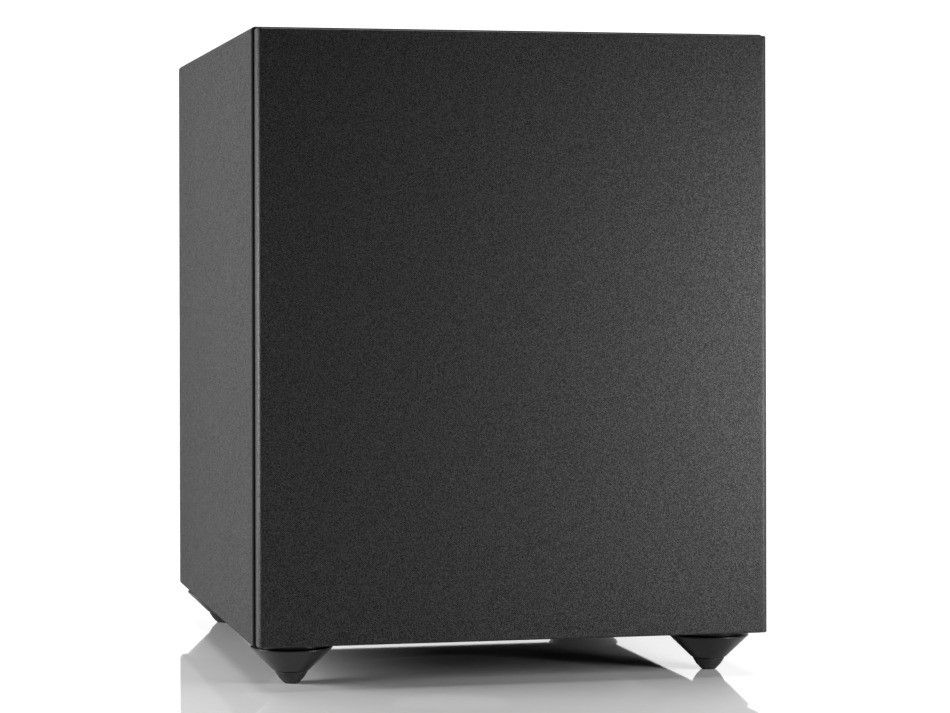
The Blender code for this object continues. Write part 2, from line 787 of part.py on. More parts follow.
# Mains side
bm = bmesh.new()
z = MAINS_Z
x = ROCKER_X
add_loft(bm, [
    rectangle(x - 6.5, x + 6.5, PLATE_OUT_Y - 20, z - 9.6, z + 9.6),
    rectangle(x - 6.5, x + 6.5, PLATE_OUT_Y + GAP, z - 9.6, z + 9.6),
    rectangle(x - 7.5, x + 7.5, PLATE_OUT_Y + GAP, z - 10.5, z + 10.5),
    rectangle(x - 7.5, x + 7.5, PLATE_OUT_Y + 2.1, z - 10.5, z + 10.5),
    rectangle(x - 5.4, x + 5.4, PLATE_OUT_Y + 2.1, z - 8.3, z + 8.3),
    rectangle(x - 5.4, x + 5.4, PLATE_OUT_Y - 11, z - 8.3, z + 8.3),
])
piece("power_switch", bm, amplifier, (0.02, 0.02, 0.02), 0.4)

ROCKER_TILT = 10
rocker_axis = assembly("power_rocker_axis", at(x, PLATE_OUT_Y - 0.9, z), amplifier)
bm = bmesh.new()
outline = [(-7.2, 3.4), (0, 2.2), (7.2, 3.4), (7.2, -2), (0, -3.2), (-7.2, -2)]
rocker_loops = [[(side, out, along) for along, out in outline] for side in (-5.1, 5.1)]
add_loft(bm, rocker_loops, Matrix.Rotation(math.radians(ROCKER_TILT), 4, "X"))
piece("power_rocker", bm, rocker_axis, (0.02, 0.02, 0.02), 0.35)


def keyed(half_x, half_z, chamfer, y):
    """The mains inlet's outline: two upper corners cut off."""
    x0 = INLET_X - half_x
    x1 = INLET_X + half_x
    z0 = MAINS_Z - half_z
    z1 = MAINS_Z + half_z
    return [
        (x0, y, z0),
        (x1, y, z0),
        (x1, y, z1 - chamfer),
        (x1 - chamfer, y, z1),
        (x0 + chamfer, y, z1),
        (x0, y, z1 - chamfer),
    ]


bm = bmesh.new()
add_loft(bm, [
    keyed(13.5, 10, 3, PLATE_OUT_Y - 22),
    keyed(13.5, 10, 3, PLATE_OUT_Y + GAP),
    keyed(15.5, 12, 1, PLATE_OUT_Y + GAP),
    keyed(15.5, 12, 1, PLATE_OUT_Y + 2.3),
    keyed(12, 8.25, 4, PLATE_OUT_Y + 2.3),
    keyed(12, 8.25, 4, PLATE_OUT_Y - 12.7),
])
mains_inlet = piece("mains_inlet", bm, amplifier, (0.015, 0.015, 0.015), 0.4)
bm = bmesh.new()
for dx, dz in ((-7, -2), (7, -2), (0, 2)):
    x = INLET_X + dx
    z = MAINS_Z + dz
    add_box(bm, (x - 1, x + 1), (PLATE_OUT_Y - 28, PLATE_OUT_Y - 0.4), (z - 2, z + 2))
combine(mains_inlet, helper("inlet_pins", bm, amplifier), "UNION")

for name, point in zip(("left_jack", "right_jack"), jack_points):
    bm = bmesh.new()
    add_lathe(bm, [
        (0, -17.6),
        (6.5, -17.6),
        (6.5, -2.4),
        (4.6, -2.4),
        (4.6, GAP),
        (6.6, GAP),
        (6.6, 1.6),
        (4.15, 1.6),
        (4.15, 8.5),
        (1.7, 8.5),
        (1.7, -6),
        (0, -6),
    ], 14, at(*point, OUT_BACK))
    piece(name, bm, amplifier, (0.7, 0.6, 0.3), 0.3, 1.0)

bm = bmesh.new()
led = [(0, -17.6), (2.4, -17.6), (2.4, 0.8), (1.6, 2.0), (0, 2.4)]
add_lathe(bm, led, 12, at(LED_X, PLATE_OUT_Y, CONTROL_Z, OUT_BACK))
piece("status_led", bm, amplifier, (0.1, 0.6, 0.15), 0.2)

# Inside the amplifier
bm = bmesh.new()
add_box(bm, (-85, 85), (BOARD_Y - 1.6, BOARD_Y), (MID_Z - 2.5, MID_Z + 108.5))
piece("circuit_board", bm, amplifier, (0.03, 0.2, 0.07), 0.5)

bm = bmesh.new()
SINK_LOW = MID_Z - 47.5
FIN_T = 2.5
FIN_PITCH = 6.7
sink_back = PLATE_IN_Y - GAP
comb = [(sink_back, SINK_LOW + 5 * FIN_PITCH + FIN_T), (sink_back, SINK_LOW)]
for fin in range(6):
    z = SINK_LOW + fin * FIN_PITCH
    comb += [(sink_back - 30, z), (sink_back - 30, z + FIN_T)]
    if fin < 5:
        comb += [(sink_back - 4, z + FIN_T), (sink_back - 4, z + FIN_PITCH)]
add_loft(bm, [[(x, y, z) for y, z in comb] for x in (-75, 75)])
piece("heat_sink", bm, amplifier, (0.6, 0.6, 0.61), 0.4, 1.0)

bm = bmesh.new()
add_lathe(bm, [
    (10, -6),
    (13, -3),
    (27, -3),
    (30, -6),
    (30, -29),
    (27, -32),
    (13, -32),
    (10, -29),
], 24, at(-52, PLATE_OUT_Y, MID_Z - 79.5, OUT_BACK))
piece("transformer", bm, amplifier, (0.55, 0.45, 0.1), 0.5)

# Two-core cable from the board, over the brace, to the woofer's tabs
bm = bmesh.new()
tab_y = WOOFER_AT[1] + 53
board_face = BOARD_Y - 1.6 - GAP
add_tube(bm, [
    (-88.4, tab_y, MID_Z),
    (-98, tab_y + 4, MID_Z + 8),
    (-104, -90, 230),
    (-102, -40, 240),
    (-98, 60, 240),
    (-84, 125, 236),
    (-76, board_face - 10, 231),
    (-76, board_face - 0.6, 231),
], 2.0, 6, 3)
piece("speaker_cable", bm, amplifier, (0.03, 0.03, 0.03), 0.5)
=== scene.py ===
"""Looks of the compact powered subwoofer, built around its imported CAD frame.

Shapes are drawn in millimetres, in places taken from the CAD nodes that they stand for.
The camera, the lights and the floor are in metres.
"""

import math

import bmesh
import bpy
from mathutils import Matrix, Vector, noise


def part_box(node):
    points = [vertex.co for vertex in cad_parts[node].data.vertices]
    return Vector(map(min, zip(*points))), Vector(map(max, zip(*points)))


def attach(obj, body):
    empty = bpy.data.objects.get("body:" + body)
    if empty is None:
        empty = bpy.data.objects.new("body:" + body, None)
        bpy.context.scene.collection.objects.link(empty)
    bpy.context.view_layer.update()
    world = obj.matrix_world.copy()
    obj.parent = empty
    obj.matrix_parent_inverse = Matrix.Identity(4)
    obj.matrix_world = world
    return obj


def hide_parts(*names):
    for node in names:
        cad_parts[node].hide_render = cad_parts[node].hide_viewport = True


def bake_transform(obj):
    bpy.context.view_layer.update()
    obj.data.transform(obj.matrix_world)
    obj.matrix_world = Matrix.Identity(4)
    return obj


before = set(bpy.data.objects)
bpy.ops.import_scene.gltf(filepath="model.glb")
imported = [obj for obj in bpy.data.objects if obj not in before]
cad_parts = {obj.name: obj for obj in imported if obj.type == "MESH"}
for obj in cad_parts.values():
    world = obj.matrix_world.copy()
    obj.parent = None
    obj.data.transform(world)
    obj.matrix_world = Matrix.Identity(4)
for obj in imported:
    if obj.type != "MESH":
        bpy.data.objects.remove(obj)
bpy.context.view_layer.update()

MM = 0.001
DRIVER_SEGS = 144
BORE_SEGS = 192
FOOT_SEGS = 96
SMALL_SEGS = 48
ROUNDED_BELOW_DEGREES = 166
SHARP_DEGREES = 34
BEVEL_DEGREES = 40
WELD_MM = 0.005
IDENTITY = Matrix.Identity(4)
scene = bpy.context.scene


def box_mm(node):
    """Lowest and highest corner of a CAD node in millimetres."""
    low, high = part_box(node)
    return low / MM, high / MM


def middle_mm(node):
    low, high = box_mm(node)
    return (low + high) / 2


# ---- Shapes ----
def at(x, y, z, turn=IDENTITY):
    """The matrix that carries local millimetres to this point, turned."""
    return Matrix.Translation((x, y, z)) @ turn


OUT_FRONT = Matrix.Rotation(math.radians(90), 4, "X")
OUT_BACK = Matrix.Rotation(math.radians(-90), 4, "X")
OUT_DOWN = Matrix.Rotation(math.radians(180), 4, "X")


def rounded(outline, radius, steps=3):
    """A closed outline of (across, along) with its corners turned into arcs, save on the axis."""
    points = [Vector(point) for point in outline]
    result = []
    for k, corner in enumerate(points):
        before = points[k - 1] - corner
        after = points[(k + 1) % len(points)] - corner
        opening = before.angle(after)
        if corner.x == 0 or opening > math.radians(ROUNDED_BELOW_DEGREES):
            result.append(tuple(corner))
            continue
        room = 0.45 * min(before.length, after.length)
        setback = min(radius / math.tan(opening / 2), room)
        start = corner + before.normalized() * setback
        end = corner + after.normalized() * setback
        for step in range(steps + 1):
            t = step / steps
            result.append(tuple(start * (1 - t) ** 2 + corner * 2 * t * (1 - t) + end * t * t))
    return result


def add_verts(bm, points, place):
    return [bm.verts.new((place @ Vector(point)) * MM) for point in points]


def add_skin(bm, rings, ring_closed):
    """Joins neighbouring rings of vertices; a ring of one vertex is a pole."""
    following_rings = rings[1:] + (rings[:1] if ring_closed else [])
    for ring, following in zip(rings, following_rings):
        count = max(len(ring), len(following))
        for k in range(count):
            after = (k + 1) % count
            corners = (
                ring[k % len(ring)],
                ring[after % len(ring)],
                following[after % len(following)],
                following[k % len(following)],
            )
            face = list(dict.fromkeys(corners))
            if len(face) > 2:
                bm.faces.new(face)


def add_lathe(bm, outline, segments=DRIVER_SEGS, place=IDENTITY):
    """Turns a closed outline of (radius, height) about local Z."""
    rings = []
    for radius, height in outline:
        if radius == 0:
            rings.append(add_verts(bm, [(0, 0, height)], place))
            continue
        angles = [2 * math.pi * k / segments for k in range(segments)]
        circle = [(radius * math.cos(a), radius * math.sin(a), height) for a in angles]
        rings.append(add_verts(bm, circle, place))
    add_skin(bm, rings, ring_closed=True)


def add_loft(bm, loops, place=IDENTITY):
    """Skins loops of points that have the same length, with a cap at each end."""
    rings = [add_verts(bm, loop, place) for loop in loops]
    add_skin(bm, rings, ring_closed=False)
    bm.faces.new(rings[0])
    bm.faces.new(rings[-1])


def add_prism(bm, outline, low, high, place=IDENTITY, edge=0.0):
    """An outline in local XY carried from low to high, with softened end edges."""
    stations = [(low, 0.0), (high, 0.0)]
    if edge:
        stations = [
            (low, edge),
            (low + 0.3 * edge, 0.3 * edge),
            (low + edge, 0.0),
            (high - edge, 0.0),
            (high - 0.3 * edge, 0.3 * edge),
            (high, edge),
        ]
    add_loft(bm, [[(x, y, z) for x, y in shrunk(outline, inset)] for z, inset in stations], place)


def shrunk(outline, inset):
    """The outline moved inwards along its corners' bisectors."""
    if not inset:
        return outline
    points = [Vector(point) for point in outline]
    turning = sum(
        points[k - 1].x * point.y - point.x * points[k - 1].y for k, point in enumerate(points)
    )
    side = 1 if turning > 0 else -1
    result = []
    for k, point in enumerate(points):
        before = (point - points[k - 1]).normalized()
        after = (points[(k + 1) % len(points)] - point).normalized()
        inward = Vector((-before.y - after.y, before.x + after.x)) * side
        share = max(0.3, 1 + before.dot(after))
        result.append(tuple(point + inward * inset / share))
    return result


def rectangle(half_x, half_y, radius=0.0, steps=4):
    outline = [(half_x, -half_y), (half_x, half_y), (-half_x, half_y), (-half_x, -half_y)]
    return rounded(outline, radius, steps) if radius else outline


def add_tube(bm, stations, radius, sides, steps):
    """A round wire along a smooth curve through these stations."""
    knots = [Vector(s) for s in stations]
    knots = [2 * knots[0] - knots[1]] + knots + [2 * knots[-1] - knots[-2]]
    path = []
    for a, b, c, d in zip(knots, knots[1:], knots[2:], knots[3:]):
        for step in range(steps):
            t = step / steps
            bend = 2 * a - 5 * b + 4 * c - d
            twist = -a + 3 * b - 3 * c + d
            path.append(b + 0.5 * ((c - a) * t + bend * t * t + twist * t * t * t))
    path.append(knots[-2])
    side = Vector((0, 0, 1))
    loops = []
    for k, point in enumerate(path):
        ahead = path[min(k + 1, len(path) - 1)] - path[max(k - 1, 0)]
        ahead.normalize()
        side = (side - ahead * side.dot(ahead)).normalized()
        across = ahead.cross(side)
        turns = [2 * math.pi * n / sides for n in range(sides)]
        loops.append([
            point + radius * (side * math.cos(turn) + across * math.sin(turn))
            for turn in turns
        ])
    add_loft(bm, loops)


def lathe(outline, place, segments=DRIVER_SEGS):
    """A new mesh that holds one turned shape."""
    bm = bmesh.new()
    add_lathe(bm, outline, segments, place)
    return bm


def prism(outline, low, high, place, edge=0.0):
    """A new mesh that holds one prism."""
    bm = bmesh.new()
    add_prism(bm, outline, low, high, place, edge)
    return bm


def ring_of(count, start_degrees=0.0):
    """Turns about local Z, evenly spaced."""
    return [
        Matrix.Rotation(math.radians(start_degrees + 360 * k / count), 4, "Z") for k in range(count)
    ]


def plain_object(name, bm):
    bmesh.ops.recalc_face_normals(bm, faces=bm.faces)
    mesh = bpy.data.meshes.new(name)
    bm.to_mesh(mesh)
    bm.free()
    obj = bpy.data.objects.new(name, mesh)
    scene.collection.objects.link(obj)
    return obj


def cut_from(obj, cutters):
    """Takes each of these meshes away from the object in turn."""
    for shape in cutters:
        cutter = plain_object("cutter", shape)
        modifier = obj.modifiers.new("cut", "BOOLEAN")
        modifier.operation = "DIFFERENCE"
        modifier.solver = "EXACT"
        modifier.object = cutter
        graph = bpy.context.evaluated_depsgraph_get()
        mesh = bpy.data.meshes.new_from_object(obj.evaluated_get(graph))
        obj.modifiers.clear()
        obj.data = mesh
        bpy.data.objects.remove(cutter)


def shade(obj):
    """Smooth shading with crisp edges, and normals that keep flat faces flat."""
    obj.data.shade_smooth()
    obj.data.set_sharp_from_angle(angle=math.radians(SHARP_DEGREES))
    even = obj.modifiers.new("even_normals", "WEIGHTED_NORMAL")
    even.keep_sharp = True


def piece(name, bm, finish, body="cabinet", replaced=(), cut=()):
    """One visible piece that rides on a body and may stand for CAD nodes."""
    obj = plain_object(name, bm)
    cut_from(obj, cut)
    obj.data.materials.clear()
    obj.data.materials.append(finish)
    shade(obj)
    if body:
        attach(obj, body)
    if replaced:
        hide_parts(*replaced)
    return obj


def refine(node, finish, edge=0.3):
    """A CAD node kept as it is, with softened edges and a finish."""
    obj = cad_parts[node]
    obj.data.materials.clear()
    obj.data.materials.append(finish)
    custom = obj.data.attributes.get("custom_normal")
    if custom:
        obj.data.attributes.remove(custom)
    obj.data.shade_smooth()
    weld = obj.modifiers.new("weld", "WELD")
    weld.merge_threshold = WELD_MM * MM
    bevel = obj.modifiers.new("soft_edges", "BEVEL")
    bevel.width = edge * MM
    bevel.segments = 2
    bevel.angle_limit = math.radians(BEVEL_DEGREES)
    obj.modifiers.new("even_normals", "WEIGHTED_NORMAL")


# ---- Finishes ----
def add(tree, kind, inputs=(), **settings):
    """A node whose inputs are numbers, colours or other nodes' outputs."""
    made = tree.nodes.new(kind)
    for name, value in settings.items():
        setattr(made, name, value)
    for key, value in dict(inputs).items():
        if isinstance(value, bpy.types.NodeSocket):
            tree.links.new(value, made.inputs[key])
        else:
            made.inputs[key].default_value = value
    return made


def sums(tree, operation, first, second):
    return add(tree, "ShaderNodeMath", {0: first, 1: second}, operation=operation).outputs[0]


def weighted(tree, *terms):
    """The sum of outputs, each given as a pair with its weight."""
    total = None
    for output, weight in terms:
        term = sums(tree, "MULTIPLY", output, weight)
        total = sums(tree, "ADD", total, term) if total else term
    return total


def ranged(tree, value, low, high, to_low, to_high):
    inputs = {0: value, 1: low, 2: high, 3: to_low, 4: to_high}
    return add(tree, "ShaderNodeMapRange", inputs).outputs[0]


def noise_of(tree, place, size):
    """Noise from 0 to 1 whose lumps are about this many metres across."""
    inputs = {"Vector": place, "Scale": 1 / size, "Detail": 3.0, "Roughness": 0.6}
    return add(tree, "ShaderNodeTexNoise", inputs).outputs[0]


def shader_of(name, **surface):
    """A new material, its nodes and its shader, with these values on the shader's own sockets."""
    made = bpy.data.materials.new(name)
    made.use_nodes = True
    shader = made.node_tree.nodes["Principled BSDF"]
    for key, value in surface.items():
        shader.inputs[key.replace("_", " ")].default_value = value
    return made, made.node_tree, shader


def wired(tree, shader, share, dark, light, roughness, relief, height):
    """Feeds colour, roughness and bump of a finish from its pattern."""
    colour = add(tree, "ShaderNodeMix", {0: share, 6: (*dark, 1), 7: (*light, 1)}, data_type="RGBA")
    tree.links.new(colour.outputs[2], shader.inputs["Base Color"])
    rough = ranged(tree, relief, 0.25, 0.75, roughness[1], roughness[0])
    tree.links.new(rough, shader.inputs["Roughness"])
    bump = add(tree, "ShaderNodeBump", {"Height": relief, "Distance": height * MM, "Strength": 1.0})
    tree.links.new(bump.outputs[0], shader.inputs["Normal"])


def grained(name, dark, light, grain, roughness, height, stretch=(1, 1, 1), worn=0.0, **surface):
    """A finish broken up by grain of this size in millimetres, cloudy patches and worn edges."""
    made, tree, shader = shader_of(name, **surface)
    place = add(tree, "ShaderNodeTexCoord").outputs["Object"]
    drawn = add(tree, "ShaderNodeMapping", {"Vector": place, "Scale": stretch}).outputs[0]
    fine = noise_of(tree, drawn, grain * MM)
    cloud = noise_of(tree, place, 40 * MM)
    mixed = weighted(tree, (fine, 0.7), (cloud, 0.3))
    share = ranged(tree, mixed, 0.35, 0.65, 0.0, 1.0)
    if worn:
        point = add(tree, "ShaderNodeNewGeometry").outputs["Pointiness"]
        edge = ranged(tree, point, 0.52, 0.6, 0.0, worn)
        share = sums(tree, "ADD", share, edge)
    wired(tree, shader, share, dark, light, roughness, fine, height)
    return made


def pebbled(name, dark, light, pebble, roughness, height, **surface):
    """Moulded or embossed skin: small pebbles with creases between them."""
    made, tree, shader = shader_of(name, **surface)
    place = add(tree, "ShaderNodeTexCoord").outputs["Object"]
    wander = noise_of(tree, place, 4 * pebble * MM)
    cells = add(tree, "ShaderNodeTexVoronoi", {"Vector": place, "Scale": 1 / (pebble * MM)})
    crease = ranged(tree, cells.outputs[0], 0.15, 0.75, 1.0, 0.0)
    relief = weighted(tree, (crease, 0.6), (wander, 0.4))
    cloud = noise_of(tree, place, 60 * MM)
    share = ranged(tree, weighted(tree, (relief, 0.9), (cloud, 0.1)), 0.3, 0.7, 0.0, 1.0)
    wired(tree, shader, share, dark, light, roughness, relief, height)
    return made


def woven(name, dark, light, pitch, roughness, height, mottle=0.5, shine=0.3):
    """Cloth: threads that cross at this pitch in millimetres, each crossing lighter or darker."""
    made, tree, shader = shader_of(name)
    place = add(tree, "ShaderNodeTexCoord").outputs["Object"]
    axes = add(tree, "ShaderNodeSeparateXYZ", {0: place}).outputs
    turn = 2 * math.pi / (pitch * MM)
    waver = ranged(tree, noise_of(tree, place, 5 * pitch * MM), 0.0, 1.0, -1.6, 1.6)
    threads = []
    for axis in (0, 2):
        along = sums(tree, "MULTIPLY", sums(tree, "ADD", axes[axis], axes[1]), turn)
        along = sums(tree, "ADD", along, waver)
        threads.append(add(tree, "ShaderNodeMath", {0: along}, operation="SINE").outputs[0])
    crossing = sums(tree, "MULTIPLY", threads[0], threads[1])
    weave = ranged(tree, crossing, -1.0, 1.0, 0.0, 1.0)
    cells = add(tree, "ShaderNodeTexVoronoi", {"Vector": place, "Scale": 3.6 / (pitch * MM)})
    yarn = add(tree, "ShaderNodeSeparateColor", {0: cells.outputs["Color"]}).outputs[0]
    fuzz = noise_of(tree, place, 0.4 * pitch * MM)
    relief = weighted(tree, (weave, 0.5), (yarn, 0.3), (fuzz, 0.2))
    share = weighted(tree, (weave, 1 - mottle), (yarn, mottle))
    glint = sums(tree, "MULTIPLY", share, share)
    wired(tree, shader, glint, dark, light, roughness, relief, height)
    gloss = ranged(tree, glint, 0.0, 1.0, 0.3 * shine, shine)
    tree.links.new(gloss, shader.inputs["Specular IOR Level"])
    return made


VINYL = pebbled(
    "cabinet_vinyl", (0.008, 0.008, 0.008), (0.040, 0.0395, 0.039), 0.6, (0.42, 0.65), 0.05,
    Specular_IOR_Level=0.05,
)
# Darker, duller copy of the cabinet vinyl for downward faces: painted shade under the box
UNDERSIDE_PAINTED_SHADE = pebbled(
    "underside_painted_shade", (0.004, 0.004, 0.004), (0.012, 0.012, 0.012), 0.6, (0.8, 0.95), 0.02,
    Specular_IOR_Level=0.0,
)
# Near-black copy of the vinyl for the panels' front rims: painted shade of the gap round the grille
RIM_PAINTED_SHADE = grained(
    "rim_painted_shade", (0.003, 0.003, 0.003), (0.008, 0.008, 0.008), 0.6, (0.6, 0.8), 0.02,
    Specular_IOR_Level=0.1,
)
BAFFLE_PAINT = grained("baffle_paint", (0.010, 0.010, 0.011), (0.020, 0.020, 0.021), 0.8, (0.5, 0.7), 0.03)
FOOT_PLASTIC = grained(
    "foot_plastic", (0.003, 0.003, 0.0032), (0.008, 0.0078, 0.0078), 0.5, (0.28, 0.42), 0.012,
    worn=0.4, Specular_IOR_Level=0.35,
)
FOOT_RUBBER = pebbled("foot_rubber", (0.005, 0.005, 0.005), (0.014, 0.014, 0.014), 0.5, (0.6, 0.8), 0.04)
GRILLE_CLOTH = woven(
    "grille_cloth", (0.0005, 0.0005, 0.0005), (0.026, 0.0256, 0.0255), 1.2, (0.35, 0.55), 0.12, 0.95, 0.6,
)
MOULDED_BLACK = pebbled(
    "moulded_black", (0.014, 0.014, 0.015), (0.026, 0.026, 0.027), 0.5, (0.4, 0.6), 0.02,
)
BASKET_STEEL = grained(
    "basket_steel", (0.018, 0.018, 0.019), (0.032, 0.032, 0.034), 0.6, (0.4, 0.55), 0.02, worn=0.5,
    Metallic=0.2,
)
CONE_PAPER = grained("cone_paper", (0.018, 0.018, 0.019), (0.040, 0.040, 0.042), 1.2, (0.6, 0.8), 0.06)
CAP_BLACK = grained("cap_black", (0.014, 0.014, 0.015), (0.026, 0.026, 0.028), 0.7, (0.35, 0.5), 0.02)
SURROUND_RUBBER = grained(
    "surround_rubber", (0.010, 0.010, 0.010), (0.020, 0.020, 0.020), 0.5, (0.45, 0.6), 0.01,
)
SPIDER_CLOTH = woven("spider_cloth", (0.36, 0.24, 0.07), (0.62, 0.45, 0.17), 0.9, (0.7, 0.9), 0.1)
PLATE_STEEL = grained(
    "plate_steel", (0.32, 0.32, 0.33), (0.5, 0.5, 0.52), 0.8, (0.3, 0.5), 0.01, worn=0.4, Metallic=1.0,
)
MAGNET_FERRITE = grained(
    "magnet_ferrite", (0.035, 0.035, 0.038), (0.075, 0.075, 0.08), 0.9, (0.5, 0.75), 0.04,
)
FORMER_METAL = grained(
    "former_metal", (0.45, 0.38, 0.2), (0.6, 0.52, 0.3), 0.6, (0.3, 0.45), 0.01, Metallic=0.7,
)
COPPER = grained(
    "copper", (0.45, 0.16, 0.06), (0.72, 0.30, 0.14), 0.3, (0.25, 0.4), 0.03, (0.1, 4, 0.1), Metallic=1.0,
)
FIBRE_BOARD = grained("fibre_board", (0.24, 0.15, 0.08), (0.42, 0.29, 0.17), 1.5, (0.7, 0.9), 0.1)
WADDING = grained(
    "wadding", (0.52, 0.51, 0.47), (0.80, 0.79, 0.75), 2.5, (0.85, 1.0), 0.8, Sheen_Weight=0.4,
)
AMP_PAINT = pebbled(
    "amp_paint", (0.014, 0.014, 0.015), (0.028, 0.028, 0.030), 0.45, (0.35, 0.55), 0.03, Metallic=0.1,
)
ALUMINIUM = grained(
    "aluminium", (0.48, 0.48, 0.5), (0.66, 0.66, 0.68), 0.5, (0.25, 0.45), 0.01, (0.04, 1, 1), worn=0.3,
    Metallic=1.0,
)
GREEN_BOARD = grained("green_board", (0.010, 0.07, 0.025), (0.02, 0.14, 0.05), 3.0, (0.3, 0.45), 0.01)
YELLOW_WRAP = grained(
    "yellow_wrap", (0.45, 0.33, 0.04), (0.66, 0.5, 0.08), 1.5, (0.3, 0.5), 0.05, (1, 0.1, 1),
)
KNOB_PLASTIC = grained(
    "knob_plastic", (0.012, 0.012, 0.012), (0.024, 0.024, 0.025), 0.4, (0.35, 0.5), 0.01, worn=0.5,
)
SWITCH_METAL = grained(
    "switch_metal", (0.38, 0.38, 0.38), (0.56, 0.56, 0.56), 0.5, (0.3, 0.45), 0.01, Metallic=1.0,
)
NICKEL = grained("nickel", (0.5, 0.49, 0.46), (0.68, 0.66, 0.62), 0.3, (0.15, 0.3), 0.005, Metallic=1.0)
GLOSSY_BLACK = grained(
    "glossy_black", (0.010, 0.010, 0.010), (0.016, 0.016, 0.016), 0.6, (0.15, 0.3), 0.004,
)
SCREW_BLACK = grained(
    "screw_black", (0.020, 0.020, 0.021), (0.045, 0.045, 0.048), 0.3, (0.25, 0.45), 0.01, worn=0.8,
    Metallic=0.8,
)
CABLE_JACKET = grained("cable_jacket", (0.014, 0.014, 0.015), (0.028, 0.028, 0.03), 0.7, (0.4, 0.55), 0.02)
WHITE_INK = grained("white_ink", (0.62, 0.62, 0.62), (0.80, 0.80, 0.80), 0.2, (0.5, 0.7), 0.01)
RED_RING = grained("red_ring", (0.40, 0.02, 0.02), (0.55, 0.04, 0.03), 0.3, (0.3, 0.45), 0.01)
WHITE_RING = grained("white_ring", (0.60, 0.60, 0.58), (0.75, 0.75, 0.73), 0.3, (0.3, 0.45), 0.01)
LED_LENS = grained(
    "led_lens", (0.05, 0.42, 0.10), (0.10, 0.60, 0.18), 0.6, (0.1, 0.2), 0.004,
    Transmission_Weight=0.6, IOR=1.49,
)

# ---- Stage ----
CAMERA_AT = (-0.3834, -1.7789, 0.2385)
CAMERA_DEGREES = (89.866, 0.124, -12.67)
CAMERA_LENS = 109.78
CAMERA_SHIFT = -0.0904

camera = bpy.data.objects.new("camera", bpy.data.cameras.new("camera"))
scene.collection.objects.link(camera)
camera.location = CAMERA_AT
camera.rotation_euler = [math.radians(degrees) for degrees in CAMERA_DEGREES]
camera.data.sensor_width = 36
camera.data.lens = CAMERA_LENS
camera.data.shift_y = CAMERA_SHIFT
scene.camera = camera
scene.view_settings.view_transform = "Standard"


def soft_light(name, point, target, size, power, spread=180):
    """A rectangular softbox that the camera doesn't see, spreading over this many degrees."""
    data = bpy.data.lights.new(name, "AREA")
    data.shape = "RECTANGLE"
    data.size, data.size_y = size
    data.energy = power
    data.spread = math.radians(spread)
    light = bpy.data.objects.new(name, data)
    scene.collection.objects.link(light)
    light.location = point
    light.rotation_euler = (Vector(target) - Vector(point)).to_track_quat("-Z", "Y").to_euler()
    light.visible_camera = False


soft_light("left_softbox", (-0.68, -0.1, 0.22), (-0.15, -0.06, 0.2), (0.3, 0.2), 6.2)
soft_light("right_softbox", (0.48, -0.52, 0.19), (0.1, -0.18, 0.17), (0.12, 0.22), 2.9, 140)
soft_light("overhead", (0.05, 0.3, 2.0), (0.0, 0.0, 0.1), (1.6, 1.6), 36)

# White background, whose light is strongest from behind the object and dim from the camera's side
BACKDROP = 1.2
DIM = 0.02
DIFFUSE_GLOW = 0.2
MIRRORED_GLOW = 1.5
world = bpy.data.worlds.new("studio")
scene.world = world
world.use_nodes = True
sky = world.node_tree
direction = add(sky, "ShaderNodeTexCoord").outputs["Generated"]
ahead = add(sky, "ShaderNodeSeparateXYZ", {0: direction}).outputs[1]
diffuse_sky = ranged(sky, ahead, -0.2, 0.85, DIM, DIFFUSE_GLOW)
mirrored_sky = ranged(sky, ahead, 0.0, 0.85, DIM, MIRRORED_GLOW)
ray = add(sky, "ShaderNodeLightPath").outputs
lit = add(sky, "ShaderNodeMix", {0: ray["Is Glossy Ray"], 2: diffuse_sky, 3: mirrored_sky}).outputs[0]
strength = add(sky, "ShaderNodeMix", {0: ray["Is Camera Ray"], 2: lit, 3: BACKDROP}).outputs[0]
sky.links.new(strength, sky.nodes["Background"].inputs["Strength"])
sky.nodes["Background"].inputs["Color"].default_value = (1, 1, 1, 1)

# Polished floor, clear from below so that the underside can be seen
FLOOR_HALF = 12.0
floor_corners = [(x * FLOOR_HALF, y * FLOOR_HALF, 0) for x, y in ((-1, -1), (1, -1), (1, 1), (-1, 1))]
floor_mesh = bpy.data.meshes.new("floor")
floor_mesh.from_pydata(floor_corners, [], [(0, 1, 2, 3)])
floor = bpy.data.objects.new("floor", floor_mesh)
scene.collection.objects.link(floor)
polish, tree, shader = shader_of("polished_floor", Roughness=0.03, IOR=1.5)
shader.inputs["Base Color"].default_value = (0.80, 0.80, 0.80, 1)
below = add(tree, "ShaderNodeNewGeometry").outputs["Backfacing"]
clear = add(tree, "ShaderNodeBsdfTransparent").outputs[0]
either = add(tree, "ShaderNodeMixShader", {0: below, 1: shader.outputs[0], 2: clear})
tree.links.new(either.outputs[0], tree.nodes["Material Output"].inputs[0])
floor_mesh.materials.append(polish)

# ---- Cabinet ----
# Both drivers' flanges, with local Z pointing out of the box
woofer_middle = middle_mm("woofer_basket")
woofer_place = at(woofer_middle.x, box_mm("woofer_basket")[0].y, woofer_middle.z, OUT_FRONT)
radiator_middle = middle_mm("radiator_frame")
radiator_place = at(radiator_middle.x, radiator_middle.y, box_mm("radiator_frame")[0].z, OUT_DOWN)

# The four mitred panels of the tube, with finely rounded edges
WALL = 18.0
LONG_EDGE_R = 2.4
FRONT_EDGE_R = 1.2
BACK_EDGE_R = 2.0
MITRE_GAP = 0.15
cabinet_low = Vector((box_mm("left_panel")[0].x, box_mm("left_panel")[0].y, box_mm("bottom_panel")[0].z))
cabinet_high = Vector((box_mm("right_panel")[1].x, box_mm("left_panel")[1].y, box_mm("top_panel")[1].z))
cabinet_middle = (cabinet_low + cabinet_high) / 2
cabinet_size = cabinet_high - cabinet_low


